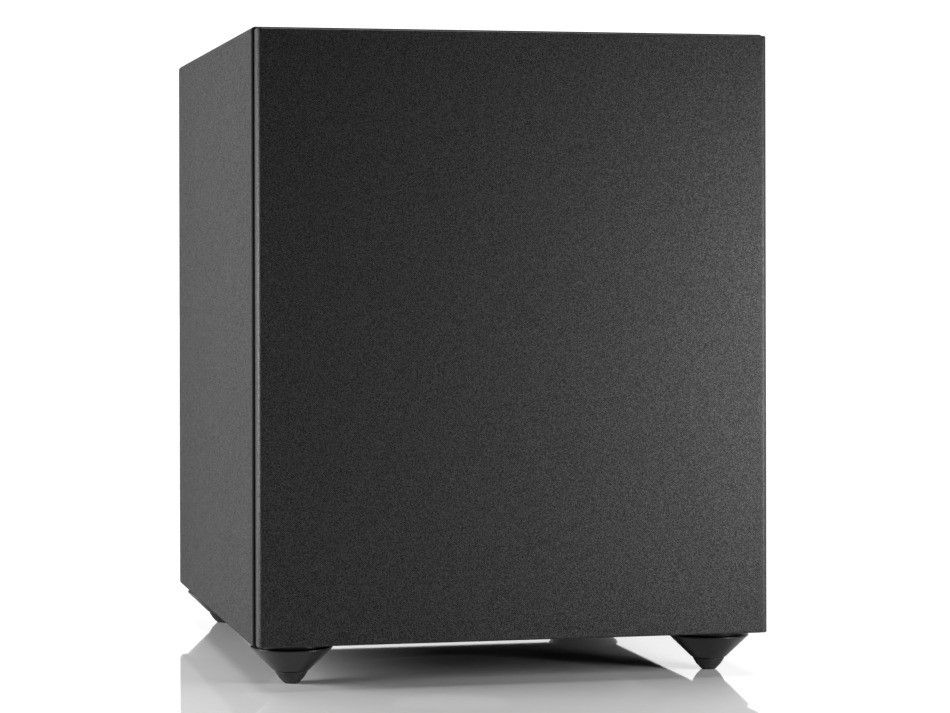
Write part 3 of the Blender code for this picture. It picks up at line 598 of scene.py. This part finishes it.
def panel_section(length, y, inset):
    """One cross-section of a mitred panel whose outer face looks along local +Z."""
    half = length / 2
    right = []
    for degrees in (0, 15, 30, 45):
        turn = math.radians(degrees)
        right.append((
            half - inset - LONG_EDGE_R * (1 - math.sin(turn)),
            -inset - LONG_EDGE_R * (1 - math.cos(turn)),
        ))
    right[-1] = (right[-1][0] - MITRE_GAP, right[-1][1])
    right.append((half - WALL - MITRE_GAP, -WALL))
    return [(x, y, z) for x, z in right + [(-x, z) for x, z in reversed(right)]]


def tube_panel(length, place):
    """A mitred panel of this length, rounded at its front and back edges."""
    loops = []
    front_turns = [math.radians(degrees) for degrees in (0, 30, 60, 90)]
    for turn in front_turns:
        inset = FRONT_EDGE_R * (1 - math.sin(turn))
        loops.append(panel_section(length, cabinet_low.y + FRONT_EDGE_R * (1 - math.cos(turn)), inset))
    for turn in reversed(front_turns):
        inset = BACK_EDGE_R * (1 - math.sin(turn))
        loops.append(panel_section(length, cabinet_high.y - BACK_EDGE_R * (1 - math.cos(turn)), inset))
    bm = bmesh.new()
    add_loft(bm, loops, place)
    return bm


BOARD_FINISHES = (VINYL, RIM_PAINTED_SHADE, UNDERSIDE_PAINTED_SHADE)


def board_finish(normal):
    """A panel's front-facing rims get near-black painted shade of the gap round the grille, its downward
    faces a darker, duller vinyl as painted shade underneath, and the rest vinyl.
    """
    if normal.y < -0.2:
        return RIM_PAINTED_SHADE
    if normal.z < -0.8:
        return UNDERSIDE_PAINTED_SHADE
    return VINYL


# The recess in the underside: its cone ends in the seat of the radiator's frame, round the bore
RECESS_OUTLINE = [(0, -14), (117, -14), (117, -3.3), (132.8, -3.3), (140.1, 8.7), (0, 8.7)]
recess = lathe(RECESS_OUTLINE, radiator_place, BORE_SEGS)
for node, length, place, cut in (
    ("top_panel", cabinet_size.x, at(0, 0, cabinet_high.z), []),
    ("bottom_panel", cabinet_size.x, at(0, 0, cabinet_low.z, Matrix.Rotation(math.pi, 4, "Y")), [recess]),
    (
        "left_panel", cabinet_size.z,
        at(cabinet_low.x, 0, cabinet_middle.z, Matrix.Rotation(-math.pi / 2, 4, "Y")), [],
    ),
    (
        "right_panel", cabinet_size.z,
        at(cabinet_high.x, 0, cabinet_middle.z, Matrix.Rotation(math.pi / 2, 4, "Y")), [],
    ),
):
    board = piece(
        node + "_board", tube_panel(length, place), VINYL, "cabinet", [node], cut=cut,
    )
    for finish in BOARD_FINISHES[1:]:
        board.data.materials.append(finish)
    # Front-facing rims take the rim's painted shade, downward faces the underside's painted shade
    for face in board.data.polygons:
        face.material_index = BOARD_FINISHES.index(board_finish(face.normal))

# Back board with the opening that the amplifier covers
HATCH_HALF_X = 92.0
HATCH_HALF_Z = 112.0
PILOT_OUTLINE = [(0, -15), (1.9, -15), (1.9, 3), (0, 3)]
AMP_CORNERS = ("top_left", "top_right", "bottom_left", "bottom_right")
back_low, back_high = box_mm("rear_panel")
back_middle = (back_low + back_high) / 2
back_half = (back_high - back_low) / 2
back_place = at(back_middle.x, back_high.y, back_middle.z, OUT_BACK)
hatch = prism(rectangle(HATCH_HALF_X, HATCH_HALF_Z, 3, 6), -30, 3, back_place)
pilots = bmesh.new()
for corner in AMP_CORNERS:
    spot = middle_mm("amp_screw_" + corner)
    add_lathe(pilots, PILOT_OUTLINE, 24, at(spot.x, back_high.y, spot.z, OUT_BACK))
board = prism(rectangle(back_half.x, back_half.z), -2 * back_half.y, 0, back_place, 0.4)
piece("rear_board", board, VINYL, "cabinet", ["rear_panel"], cut=[hatch, pilots])
refine("cross_brace", FIBRE_BOARD, 0.6)

# Front board: bore and rebate for the woofer, and blind sockets for the grille's pegs
PEG_X = 117.0
PEG_Z = 141.0
BORE_OUTLINE = [(0, -20), (116, -20), (116, -3.8), (127.5, -3.8), (127.5, 2), (0, 2)]
SOCKET_OUTLINE = [(0, -10), (3.9, -10), (3.9, 3), (0, 3)]
board_low, board_high = box_mm("front_baffle")
board_middle = (board_low + board_high) / 2
board_half = (board_high - board_low) / 2
board_place = at(board_middle.x, board_low.y, board_middle.z, OUT_FRONT)
bore = lathe(BORE_OUTLINE, board_place, BORE_SEGS)
sockets = bmesh.new()
for x in (-PEG_X, PEG_X):
    for z in (-PEG_Z, PEG_Z):
        spot = board_place @ at(x, z, 0)
        add_lathe(sockets, SOCKET_OUTLINE, SMALL_SEGS, spot)
board = prism(rectangle(board_half.x, board_half.z), -2 * board_half.y, 0, board_place, 0.5)
piece("baffle_board", board, BAFFLE_PAINT, "cabinet", ["front_baffle"], cut=[bore, sockets])

# ---- Grille ----
CLOTH_T = 0.7
SIDE_ROLL_R = 3.0
END_ROLL_R = 0.9
ROLL_STEPS = 10
FACE_INSETS = (1.0, 8.0)
CORNER_R = 0.9
cloth_low, cloth_high = box_mm("grille_cloth")
cloth_half_x = (cloth_high.x - cloth_low.x) / 2
cloth_half_z = (cloth_high.z - cloth_low.z) / 2
cloth_depth = cloth_high.y - cloth_low.y
cloth_place = at(0, cloth_high.y, (cloth_low.z + cloth_high.z) / 2, OUT_FRONT)


def rolled_in(out, front, radius):
    """How far an edge rounded to this radius has come in, at this distance from the back."""
    past = min(max(out - (front - radius), 0.0), radius)
    return radius - math.sqrt(radius * radius - past * past)


def tray_loops(half_x, half_z, front):
    """Back edge to front: both sides roll over, and the top and bottom are nearly square."""
    stations = [(0.0, 0.0)]
    for step in range(ROLL_STEPS + 1):
        turn = math.radians(90 * step / ROLL_STEPS)
        stations.append((front - SIDE_ROLL_R * (1 - math.sin(turn)), 0.0))
    stations += [(front, inset) for inset in FACE_INSETS]
    loops = []
    for out, inset in stations:
        across = half_x - rolled_in(out, front, SIDE_ROLL_R) - inset
        along = half_z - rolled_in(out, front, END_ROLL_R) - inset
        loops.append([(x, z, out) for x, z in rectangle(across, along, CORNER_R, 5)])
    return loops


outer = tray_loops(cloth_half_x, cloth_half_z, cloth_depth)
inner = tray_loops(cloth_half_x - CLOTH_T, cloth_half_z - CLOTH_T, cloth_depth - CLOTH_T)
bm = bmesh.new()
add_loft(bm, list(reversed(inner)) + outer, cloth_place)
cloth = piece("grille_fabric", bm, GRILLE_CLOTH, "grille", ["grille_cloth"])
refine("grille_frame", MOULDED_BLACK, 0.4)

# ---- Feet ----
CONE_OUTLINE = [
    (0, 36.0),
    (2.5, 36.0),
    (2.5, 23.2),
    (20.0, 23.2),
    (20.0, 21.2),
    (23.5, 21.2),
    (23.5, 20.3),
    (10.3, 7.6),
    (5.4, 7.6),
    (5.4, 9.4),
    (0, 9.4),
]
TIP_OUTLINE = [
    (0, 0),
    (3.9, 0),
    (5.2, 1.2),
    (7.1, 3.2),
    (8.9, 6.0),
    (9.5, 7.3),
    (5.1, 7.3),
    (5.1, 9.0),
    (0, 9.0),
]
for corner in ("front_left", "front_right", "back_left", "back_right"):
    foot = middle_mm("foot_cone_" + corner)
    place = at(foot.x, foot.y, 0)
    bm = lathe(rounded(CONE_OUTLINE, 0.35), place, FOOT_SEGS)
    piece("foot_body_" + corner, bm, FOOT_PLASTIC, "cabinet", ["foot_cone_" + corner])
    bm = lathe(rounded(TIP_OUTLINE, 1.2), place, FOOT_SEGS)
    piece("foot_pad_" + corner, bm, FOOT_RUBBER, "cabinet", ["foot_tip_" + corner])


# ---- Drivers ----
DRIVER_SCREWS = 8
SPOKES = 6
RUBBER_T = 1
ROLL_ARC_STEPS = 28
LEAD_R = 0.6

# Spiders: the waves start and end at these shares of the way out, and fade in and out over another
SPIDER_T = 0.8
SPIDER_WAVE = 1.8
SPIDER_STEPS = 120
WAVES_START = 0.12
WAVES_END = 0.9
WAVES_FADE = 0.1
WAVES_PITCH = 0.156


def half_roll(centre, radius, base, outer_end, inner_end):
    """Outline of a thin rubber edge with a half-round roll."""
    turns = [math.pi * step / ROLL_ARC_STEPS for step in range(ROLL_ARC_STEPS + 1)]
    over = [(centre + radius * math.cos(t), base + radius * math.sin(t)) for t in turns]
    thin = radius - RUBBER_T
    under = [(centre + thin * math.cos(t), base + thin * math.sin(t)) for t in reversed(turns[1:-1])]
    lower = base - RUBBER_T
    outline = [(outer_end, base)] + over + [(inner_end, base), (inner_end, lower)]
    outline += [(centre - thin, lower)] + under
    return outline + [(centre + thin, lower), (outer_end, lower)]


def spider_outline(hub, rim, level):
    """Outline of a corrugated cloth disc, flat where it is glued at the hub and the rim."""
    over = []
    for step in range(SPIDER_STEPS + 1):
        share = step / SPIDER_STEPS
        rise = min(max((share - WAVES_START) / WAVES_FADE, 0.0), 1.0)
        ramp = rise * min(max((WAVES_END - share) / WAVES_FADE, 0.0), 1.0)
        wave = math.sin(2 * math.pi * (share - WAVES_START) / WAVES_PITCH)
        over.append((hub + share * (rim - hub), level + SPIDER_WAVE * ramp * wave))
    return over + [(radius, z - SPIDER_T) for radius, z in reversed(over)]


def radial_blend(obj):
    """Bakes the piece's transform into its mesh; the piece rides on no body."""
    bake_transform(obj)


def windows(inner, outer, low, high, place):
    """The openings between spokes, each wider at its outer end, with round corners."""
    bm = bmesh.new()
    near, near_half = inner
    far, far_half = outer
    opening = [(near, -near_half), (far, -far_half), (far, far_half), (near, near_half)]
    for turn in ring_of(SPOKES):
        add_prism(bm, rounded(opening, 7, 5), low, high, place @ turn)
    return bm


def cross_shape(reach, half):
    """The outline of a cross recess whose arms are this long and this half width."""
    arm = [(reach, -half), (reach, half), (half, half)]
    outline = []
    for quarter in range(4):
        for x, y in arm:
            for _ in range(quarter):
                x, y = -y, x
            outline.append((x, y))
    return outline


def screws(name, place, radius, head_r):
    """A driver's ring of pan-head screws with cross recesses."""
    bm = bmesh.new()
    crosses = bmesh.new()
    outline = [
        (0, 1.9), (0.45 * head_r, 1.75), (0.85 * head_r, 1.15), (head_r, 0.4), (head_r, 0.02),
        (0, 0.02),
    ]
    for turn in ring_of(DRIVER_SCREWS, 180 / DRIVER_SCREWS):
        spot = place @ turn @ at(radius, 0, 0)
        add_lathe(bm, outline, 32, spot)
        add_prism(crosses, cross_shape(0.42 * head_r, 0.09 * head_r), 0.7, 2.5, spot)
    piece(name, bm, SCREW_BLACK, "cabinet", cut=[crosses])


BASKET_OUTLINE = [
    (34, -60), (70, -60), (72.5, -46.5), (112.5, -13.5), (114, -3.5), (127, -3.5), (127, 0),
    (120, 0), (120, -1.6), (112.5, -1.6), (110.9, -11.6), (70, -45.3), (62, -45.3), (62, -57),
    (34, -57),
]
basket_windows = windows((60, 20), (126, 44), -42, -16, woofer_place)
piece(
    "woofer_chassis", lathe(rounded(BASKET_OUTLINE, 0.8), woofer_place), BASKET_STEEL, "cabinet",
    ["woofer_basket"], cut=[basket_windows],
)
piece(
    "woofer_front_plate",
    lathe(rounded([(27.2, -68.3), (58, -68.3), (58, -60.3), (27.2, -60.3)], 0.5), woofer_place),
    PLATE_STEEL, "cabinet", ["woofer_top_plate"],
)
piece(
    "woofer_ring_magnet",
    lathe(rounded([(32, -86.6), (60, -86.6), (60, -68.6), (32, -68.6)], 1.0), woofer_place),
    MAGNET_FERRITE, "cabinet", ["woofer_magnet"],
)
BACK_PLATE_OUTLINE = [(8, -94.9), (58, -94.9), (58, -86.9), (24.6, -86.9), (24.6, -60.3), (8, -60.3)]
piece(
    "woofer_pole_plate", lathe(rounded(BACK_PLATE_OUTLINE, 0.8), woofer_place), PLATE_STEEL,
    "cabinet", ["woofer_back_plate"],
)
surround = piece(
    "woofer_roll_edge", lathe(half_roll(109, 8, -0.3, 119.7, 96), woofer_place), SURROUND_RUBBER,
    None, ["woofer_surround"],
)
radial_blend(surround)
CONE_PROFILE = [
    (101, -1.6), (95, -1.6), (83, -6.6), (70, -13), (57, -19.3), (45, -26), (25.7, -37),
    (25.7, -38.8), (44.4, -27.3), (56.5, -20.6), (69.4, -14.4), (82.5, -7.9), (94.5, -2.8),
    (101, -2.8),
]
piece(
    "woofer_paper_cone", lathe(rounded(CONE_PROFILE, 0.5, 2), woofer_place), CONE_PAPER,
    "woofer_moving", ["woofer_cone"],
)
DUST_CAP_OUTLINE = [
    (0, -17), (7, -17.25), (13, -18.2), (19, -19.9), (25, -22.3), (31, -25.6), (35.5, -29.2),
    (35.5, -30.9), (30.5, -27), (24.5, -23.5), (18.6, -20.9), (12.8, -19.3), (7, -18.25), (0, -18),
]
piece(
    "woofer_cap", lathe(DUST_CAP_OUTLINE, woofer_place), CAP_BLACK, "woofer_moving",
    ["woofer_dust_cap"],
)
piece(
    "woofer_coil_former",
    lathe([(25.0, -74), (25.4, -74), (25.4, -36), (25.0, -36)], woofer_place), FORMER_METAL,
    "woofer_moving", ["woofer_former"],
)
COIL_R = 25.65
COIL_LOW = -72
COIL_HIGH = -56
COIL_TURNS = 24
wire_outline = [(COIL_R, COIL_LOW)]
for k in range(COIL_TURNS):
    low = COIL_LOW + (COIL_HIGH - COIL_LOW) * k / COIL_TURNS
    wire_outline += [(26.3, low + 0.06), (26.5, low + 0.33), (26.3, low + 0.6)]
wire_outline += [(COIL_R, COIL_HIGH)]
piece(
    "woofer_coil", lathe(wire_outline, woofer_place), COPPER, "woofer_moving",
    ["woofer_winding"],
)
spider = piece(
    "woofer_suspension", lathe(spider_outline(26.0, 68, -44.2), woofer_place),
    SPIDER_CLOTH, None, ["woofer_spider"],
)
radial_blend(spider)
refine("woofer_terminals", FIBRE_BOARD, 0.2)
for lead, side in (("woofer_lead_lower", -1), ("woofer_lead_upper", 1)):
    stations = [
        (-77.2, 9 * side, -46.9),
        (-79.4, 9 * side, -42),
        (-74, 8 * side, -34),
        (-60, 7 * side, -30.5),
        (-50.5, 6 * side, -25.6),
    ]
    bm = bmesh.new()
    add_tube(bm, [woofer_place @ Vector(s) for s in stations], LEAD_R, sides=12, steps=8)
    wire = piece(lead + "_braid", bm, COPPER, None, [lead])
    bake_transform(wire)
screws("woofer_screws", woofer_place, 123.5, 2.9)

RADIATOR_FRAME_OUTLINE = [
    (60, -36.3), (73, -36.3), (114.5, -13.2), (115.8, -3), (131, -3), (131, 0), (124.5, 0),
    (124.5, -1.4), (113.2, -1.4), (112.2, -11.2), (71.5, -33.3), (60, -33.3),
]
frame_windows = windows((64, 20), (124, 42), -31, -15, radiator_place)
piece(
    "radiator_chassis", lathe(rounded(RADIATOR_FRAME_OUTLINE, 0.7), radiator_place), BASKET_STEEL,
    "cabinet", ["radiator_frame"], cut=[frame_windows],
)
surround = piece(
    "radiator_roll_edge", lathe(half_roll(111, 8, -0.1, 124.2, 98), radiator_place),
    SURROUND_RUBBER, None, ["radiator_surround"],
)
radial_blend(surround)
RADIATOR_CONE_PROFILE = [
    (0, -11), (40, -11), (97, -1.4), (103, -1.4), (103, -2.9), (97, -2.9), (40, -12.8),
    (14, -13.2), (14, -36), (0, -36),
]
piece(
    "radiator_diaphragm", lathe(rounded(RADIATOR_CONE_PROFILE, 1.0), radiator_place), CONE_PAPER,
    "radiator_moving", ["radiator_cone"],
)
WEIGHT_OUTLINE = [(0, -10.7), (38, -10.7), (38, -7.2), (36.5, -5.7), (0, -5.7)]
piece(
    "radiator_mass", lathe(rounded(WEIGHT_OUTLINE, 0.4), radiator_place), SCREW_BLACK,
    "radiator_moving", ["radiator_weight"],
)
spider = piece(
    "radiator_suspension", lathe(spider_outline(14.5, 67, -31.8), radiator_place),
    SPIDER_CLOTH, None, ["radiator_spider"],
)
radial_blend(spider)
screws("radiator_screws", radiator_place, 127.7, 2.6)

# ---- Amplifier ----
plate_low, plate_high = box_mm("amp_plate")
plate_middle = (plate_low + plate_high) / 2
plate_half = (plate_high - plate_low) / 2


def on_plate(x, z):
    """A place on the plate's outer face: local X to world X, local Y down and local Z out."""
    return at(x, plate_high.y, z, OUT_BACK)


level = middle_mm("level_knob")
crossover = middle_mm("crossover_knob")
lamp = middle_mm("status_led")
phase = middle_mm("phase_switch")
mode = middle_mm("mode_switch")
inlet = middle_mm("mains_inlet")
rocker = middle_mm("power_switch")
jacks = [middle_mm(name) for name in ("left_jack", "right_jack")]

CUT_LOW = -4
CUT_HIGH = 2
SHAFT_HOLE_R = 4.8
LAMP_HOLE_R = 2.7
JACK_HOLE_R = 5.0
round_holes = [(level, SHAFT_HOLE_R), (crossover, SHAFT_HOLE_R), (lamp, LAMP_HOLE_R)]
round_holes += [(jack, JACK_HOLE_R) for jack in jacks]
cutouts = bmesh.new()
for spot, radius in round_holes:
    hole = [(0, CUT_LOW), (radius, CUT_LOW), (radius, CUT_HIGH), (0, CUT_HIGH)]
    add_lathe(cutouts, hole, SMALL_SEGS, on_plate(spot.x, spot.z))
for spot, half_x, half_z in (
    (phase, 5.2, 2.2), (mode, 5.2, 2.2), (inlet, 13.8, 10.3), (rocker, 6.8, 9.9),
):
    outline = rectangle(half_x, half_z, 0.6, 3)
    add_prism(cutouts, outline, CUT_LOW, CUT_HIGH, on_plate(spot.x, spot.z))
plate_shape = prism(
    rectangle(plate_half.x, plate_half.z, 4.0, 8), -2 * plate_half.y, 0,
    on_plate(plate_middle.x, plate_middle.z), 0.5,
)
piece("amp_panel", plate_shape, AMP_PAINT, "cabinet", ["amp_plate"], cut=[cutouts])

# Printed marks: ticks round each dial, a dash at both ends of a slide switch and one under each jack
INK_LOW = 0.005
INK_T = 0.06
DIAL_TRAVEL = 300
DIAL_STEPS = 10
bm = bmesh.new()
for dial in (level, crossover):
    for tick in range(DIAL_STEPS + 1):
        degrees = -DIAL_TRAVEL / 2 + DIAL_TRAVEL * tick / DIAL_STEPS
        length = 1.4 if tick % 5 == 0 else 0.8
        turn = Matrix.Rotation(math.radians(degrees), 4, "Z")
        spot = on_plate(dial.x, dial.z) @ turn @ at(0, -12.6, 0)
        add_prism(bm, rectangle(0.28, length), INK_LOW, INK_T, spot)
for spot in (phase, mode):
    for x in (-7.6, 7.6):
        add_prism(bm, rectangle(0.9, 0.25), INK_LOW, INK_T, on_plate(spot.x + x, spot.z))
for spot in jacks:
    add_prism(bm, rectangle(2.4, 0.2), INK_LOW, INK_T, on_plate(spot.x, spot.z - 9.5))
piece("panel_marks", bm, WHITE_INK)

# Knobs: fluted side, flat top and an inlaid white pointer
KNOB_OUTLINE = [(0, 12.7), (7.2, 12.7), (8.0, 11.9), (8.8, 0.8), (3.0, 0.8), (3.0, -10), (0, -10)]
FLUTES = 24
FLUTE_OUTLINE = [(0, 1.8), (0.55, 1.8), (0.55, 11.0), (0, 11.0)]
for knob, dial, body in (
    ("level_knob", level, "level_control"), ("crossover_knob", crossover, "crossover_control"),
):
    place = on_plate(dial.x, dial.z)
    grooves = bmesh.new()
    for turn in ring_of(FLUTES, 7.5):
        spot = place @ turn @ at(9.0, 0, 0)
        add_lathe(grooves, FLUTE_OUTLINE, 10, spot)
    add_prism(grooves, rectangle(0.7, 3.5), 12.2, 14, place @ at(0, -5.6, 0))
    bm = lathe(rounded(KNOB_OUTLINE, 0.5), place, 96)
    piece(knob + "_cap", bm, KNOB_PLASTIC, body, [knob], cut=[grooves])
    line = prism(rectangle(0.62, 2.6), 12.05, 12.62, place @ at(0, -4.6, 0), 0.1)
    piece(knob + "_line", line, WHITE_INK, body)
for node in ("level_pot", "crossover_pot", "phase_switch", "mode_switch"):
    refine(node, SWITCH_METAL, 0.2)

# Slide levers with three grooves across their ends
for lever, body in (("phase_lever", "phase_control"), ("mode_lever", "mode_control")):
    low, high = box_mm(lever)
    middle = (low + high) / 2
    half = (high - low) / 2
    place = at(middle.x, high.y, middle.z, OUT_BACK)
    bm = prism(rectangle(half.x, half.z, 0.3, 2), -2 * half.y, 0, place, 0.3)
    grooves = bmesh.new()
    for x in (-0.9, 0.0, 0.9):
        add_prism(grooves, rectangle(0.18, 2.5), -0.4, 1, place @ at(x, 0, 0))
    piece(lever + "_cap", bm, KNOB_PLASTIC, body, [lever], cut=[grooves])

# Mains switch and inlet, phono jacks and status lamp
refine("power_switch", MOULDED_BLACK, 0.35)
refine("power_rocker", GLOSSY_BLACK, 0.3)
refine("mains_inlet", MOULDED_BLACK, 0.3)
JACK_OUTLINE = [
    (0, -17.6), (6.5, -17.6), (6.5, -2.4), (4.6, -2.4), (4.6, 0.3), (5.2, 0.3), (5.2, 1.8),
    (4.15, 1.8), (4.15, 8.5), (1.7, 8.5), (1.7, -6), (0, -6),
]
RING_OUTLINE = [(5.35, 0.3), (6.6, 0.3), (6.6, 1.6), (5.35, 1.6)]
for name, spot, ring_finish in zip(("left_jack", "right_jack"), jacks, (WHITE_RING, RED_RING)):
    place = on_plate(spot.x, spot.z)
    bm = lathe(rounded(JACK_OUTLINE, 0.25), place, SMALL_SEGS)
    piece(name + "_shell", bm, NICKEL, "cabinet", [name])
    bm = lathe(rounded(RING_OUTLINE, 0.3), place, SMALL_SEGS)
    piece(name + "_ring", bm, ring_finish, "cabinet")
LED_OUTLINE = [(0, -17.6), (2.4, -17.6), (2.4, 0.8), (2.2, 1.5), (1.6, 2.0), (0.8, 2.3), (0, 2.4)]
bm = lathe(LED_OUTLINE, on_plate(lamp.x, lamp.z), SMALL_SEGS)
piece("status_lamp", bm, LED_LENS, "cabinet", ["status_led"])

SCREW_OUTLINE = [
    (0, 1.9), (1.2, 1.75), (2.2, 1.3), (2.7, 0.7), (2.7, 0.3), (1.5, 0.3), (1.5, -14), (0, -14),
]
for corner in AMP_CORNERS:
    screw = "amp_screw_" + corner
    spot = middle_mm(screw)
    place = on_plate(spot.x, spot.z)
    cross = prism(cross_shape(1.3, 0.28), 0.7, 2.5, place)
    bm = lathe(SCREW_OUTLINE, place, 40)
    piece("amp_bolt_" + corner, bm, SCREW_BLACK, "cabinet", [screw], cut=[cross])

# Circuit side: board, heat sink, cable and the ring transformer with its taped winding
refine("circuit_board", GREEN_BOARD, 0.1)
refine("heat_sink", ALUMINIUM, 0.25)
refine("speaker_cable", CABLE_JACKET, 0.0)
WRAP_TURNS = 72
WRAP_DIP = 0.35
WRAP_OUTLINE = [(10, -3), (30, -3), (30, -32), (10, -32)]
transformer_low, transformer_high = box_mm("transformer")
transformer_middle = (transformer_low + transformer_high) / 2
wrap_place = at(transformer_middle.x, transformer_high.y + 3, transformer_middle.z, OUT_BACK)
wrap_section = rounded(WRAP_OUTLINE, 4.0, 6)
bm = bmesh.new()
wrap_rings = []
for k in range(WRAP_TURNS * 2):
    angle = math.pi * k / WRAP_TURNS
    dip = WRAP_DIP * (k % 2)
    ring = []
    for radius, height in shrunk(wrap_section, 0.05 + dip):
        ring.append((radius * math.cos(angle), radius * math.sin(angle), height))
    wrap_rings.append(add_verts(bm, ring, wrap_place))
add_skin(bm, wrap_rings, ring_closed=True)
piece("transformer_winding", bm, YELLOW_WRAP, "cabinet", ["transformer"])

# ---- Wadding ----
PAD_T = 15.0
PAD_STEPS = 14
PAD_ROWS = 44
LUMP_SHARE = 0.12
THIN_ROWS = 3
THIN_SHARE = 0.45
pad_low, pad_high = box_mm("damping_blanket")
inner_x = pad_high.x - PAD_T
inner_z = pad_high.z - PAD_T

# Points up the left side, over the top and down the right
around = []
for k in range(PAD_STEPS + 1):
    share = k / PAD_STEPS
    around.append((-pad_high.x, pad_low.z + share * (pad_high.z - pad_low.z)))
for k in range(1, 2 * PAD_STEPS):
    share = k / (2 * PAD_STEPS)
    around.append((-pad_high.x + share * 2 * pad_high.x, pad_high.z))
for k in range(PAD_STEPS + 1):
    share = 1 - k / PAD_STEPS
    around.append((pad_high.x, pad_low.z + share * (pad_high.z - pad_low.z)))


def pad_loop(y, end_share):
    """One closed section of the blanket: its flat outer face and its lumpy inner one."""
    outer_line = [(x, y, z) for x, z in around]
    inner_line = []
    for x, z in around:
        thick_x = max(min(x, inner_x), -inner_x)
        thick_z = min(z, inner_z)
        lump = noise.noise(Vector((x, y, z)) * 0.045) + 0.5 * noise.noise(Vector((x, y, z)) * 0.13)
        keep = end_share * (1 - LUMP_SHARE * (1 + lump))
        keep = max(min(keep, 1.0), 0.05)
        inner_line.append((x + (thick_x - x) * keep, y, z + (thick_z - z) * keep))
    return outer_line + inner_line[::-1]


pad_loops = []
for row in range(PAD_ROWS + 1):
    share = row / PAD_ROWS
    y = pad_low.y + share * (pad_high.y - pad_low.y)
    edge = min(share, 1 - share) * PAD_ROWS / THIN_ROWS
    swell = math.sin(min(edge, 1.0) * math.pi / 2)
    pad_loops.append(pad_loop(y, THIN_SHARE + (1 - THIN_SHARE) * swell))
bm = bmesh.new()
add_loft(bm, pad_loops)
blanket = piece("wadding_blanket", bm, WADDING, "cabinet", ["damping_blanket"])
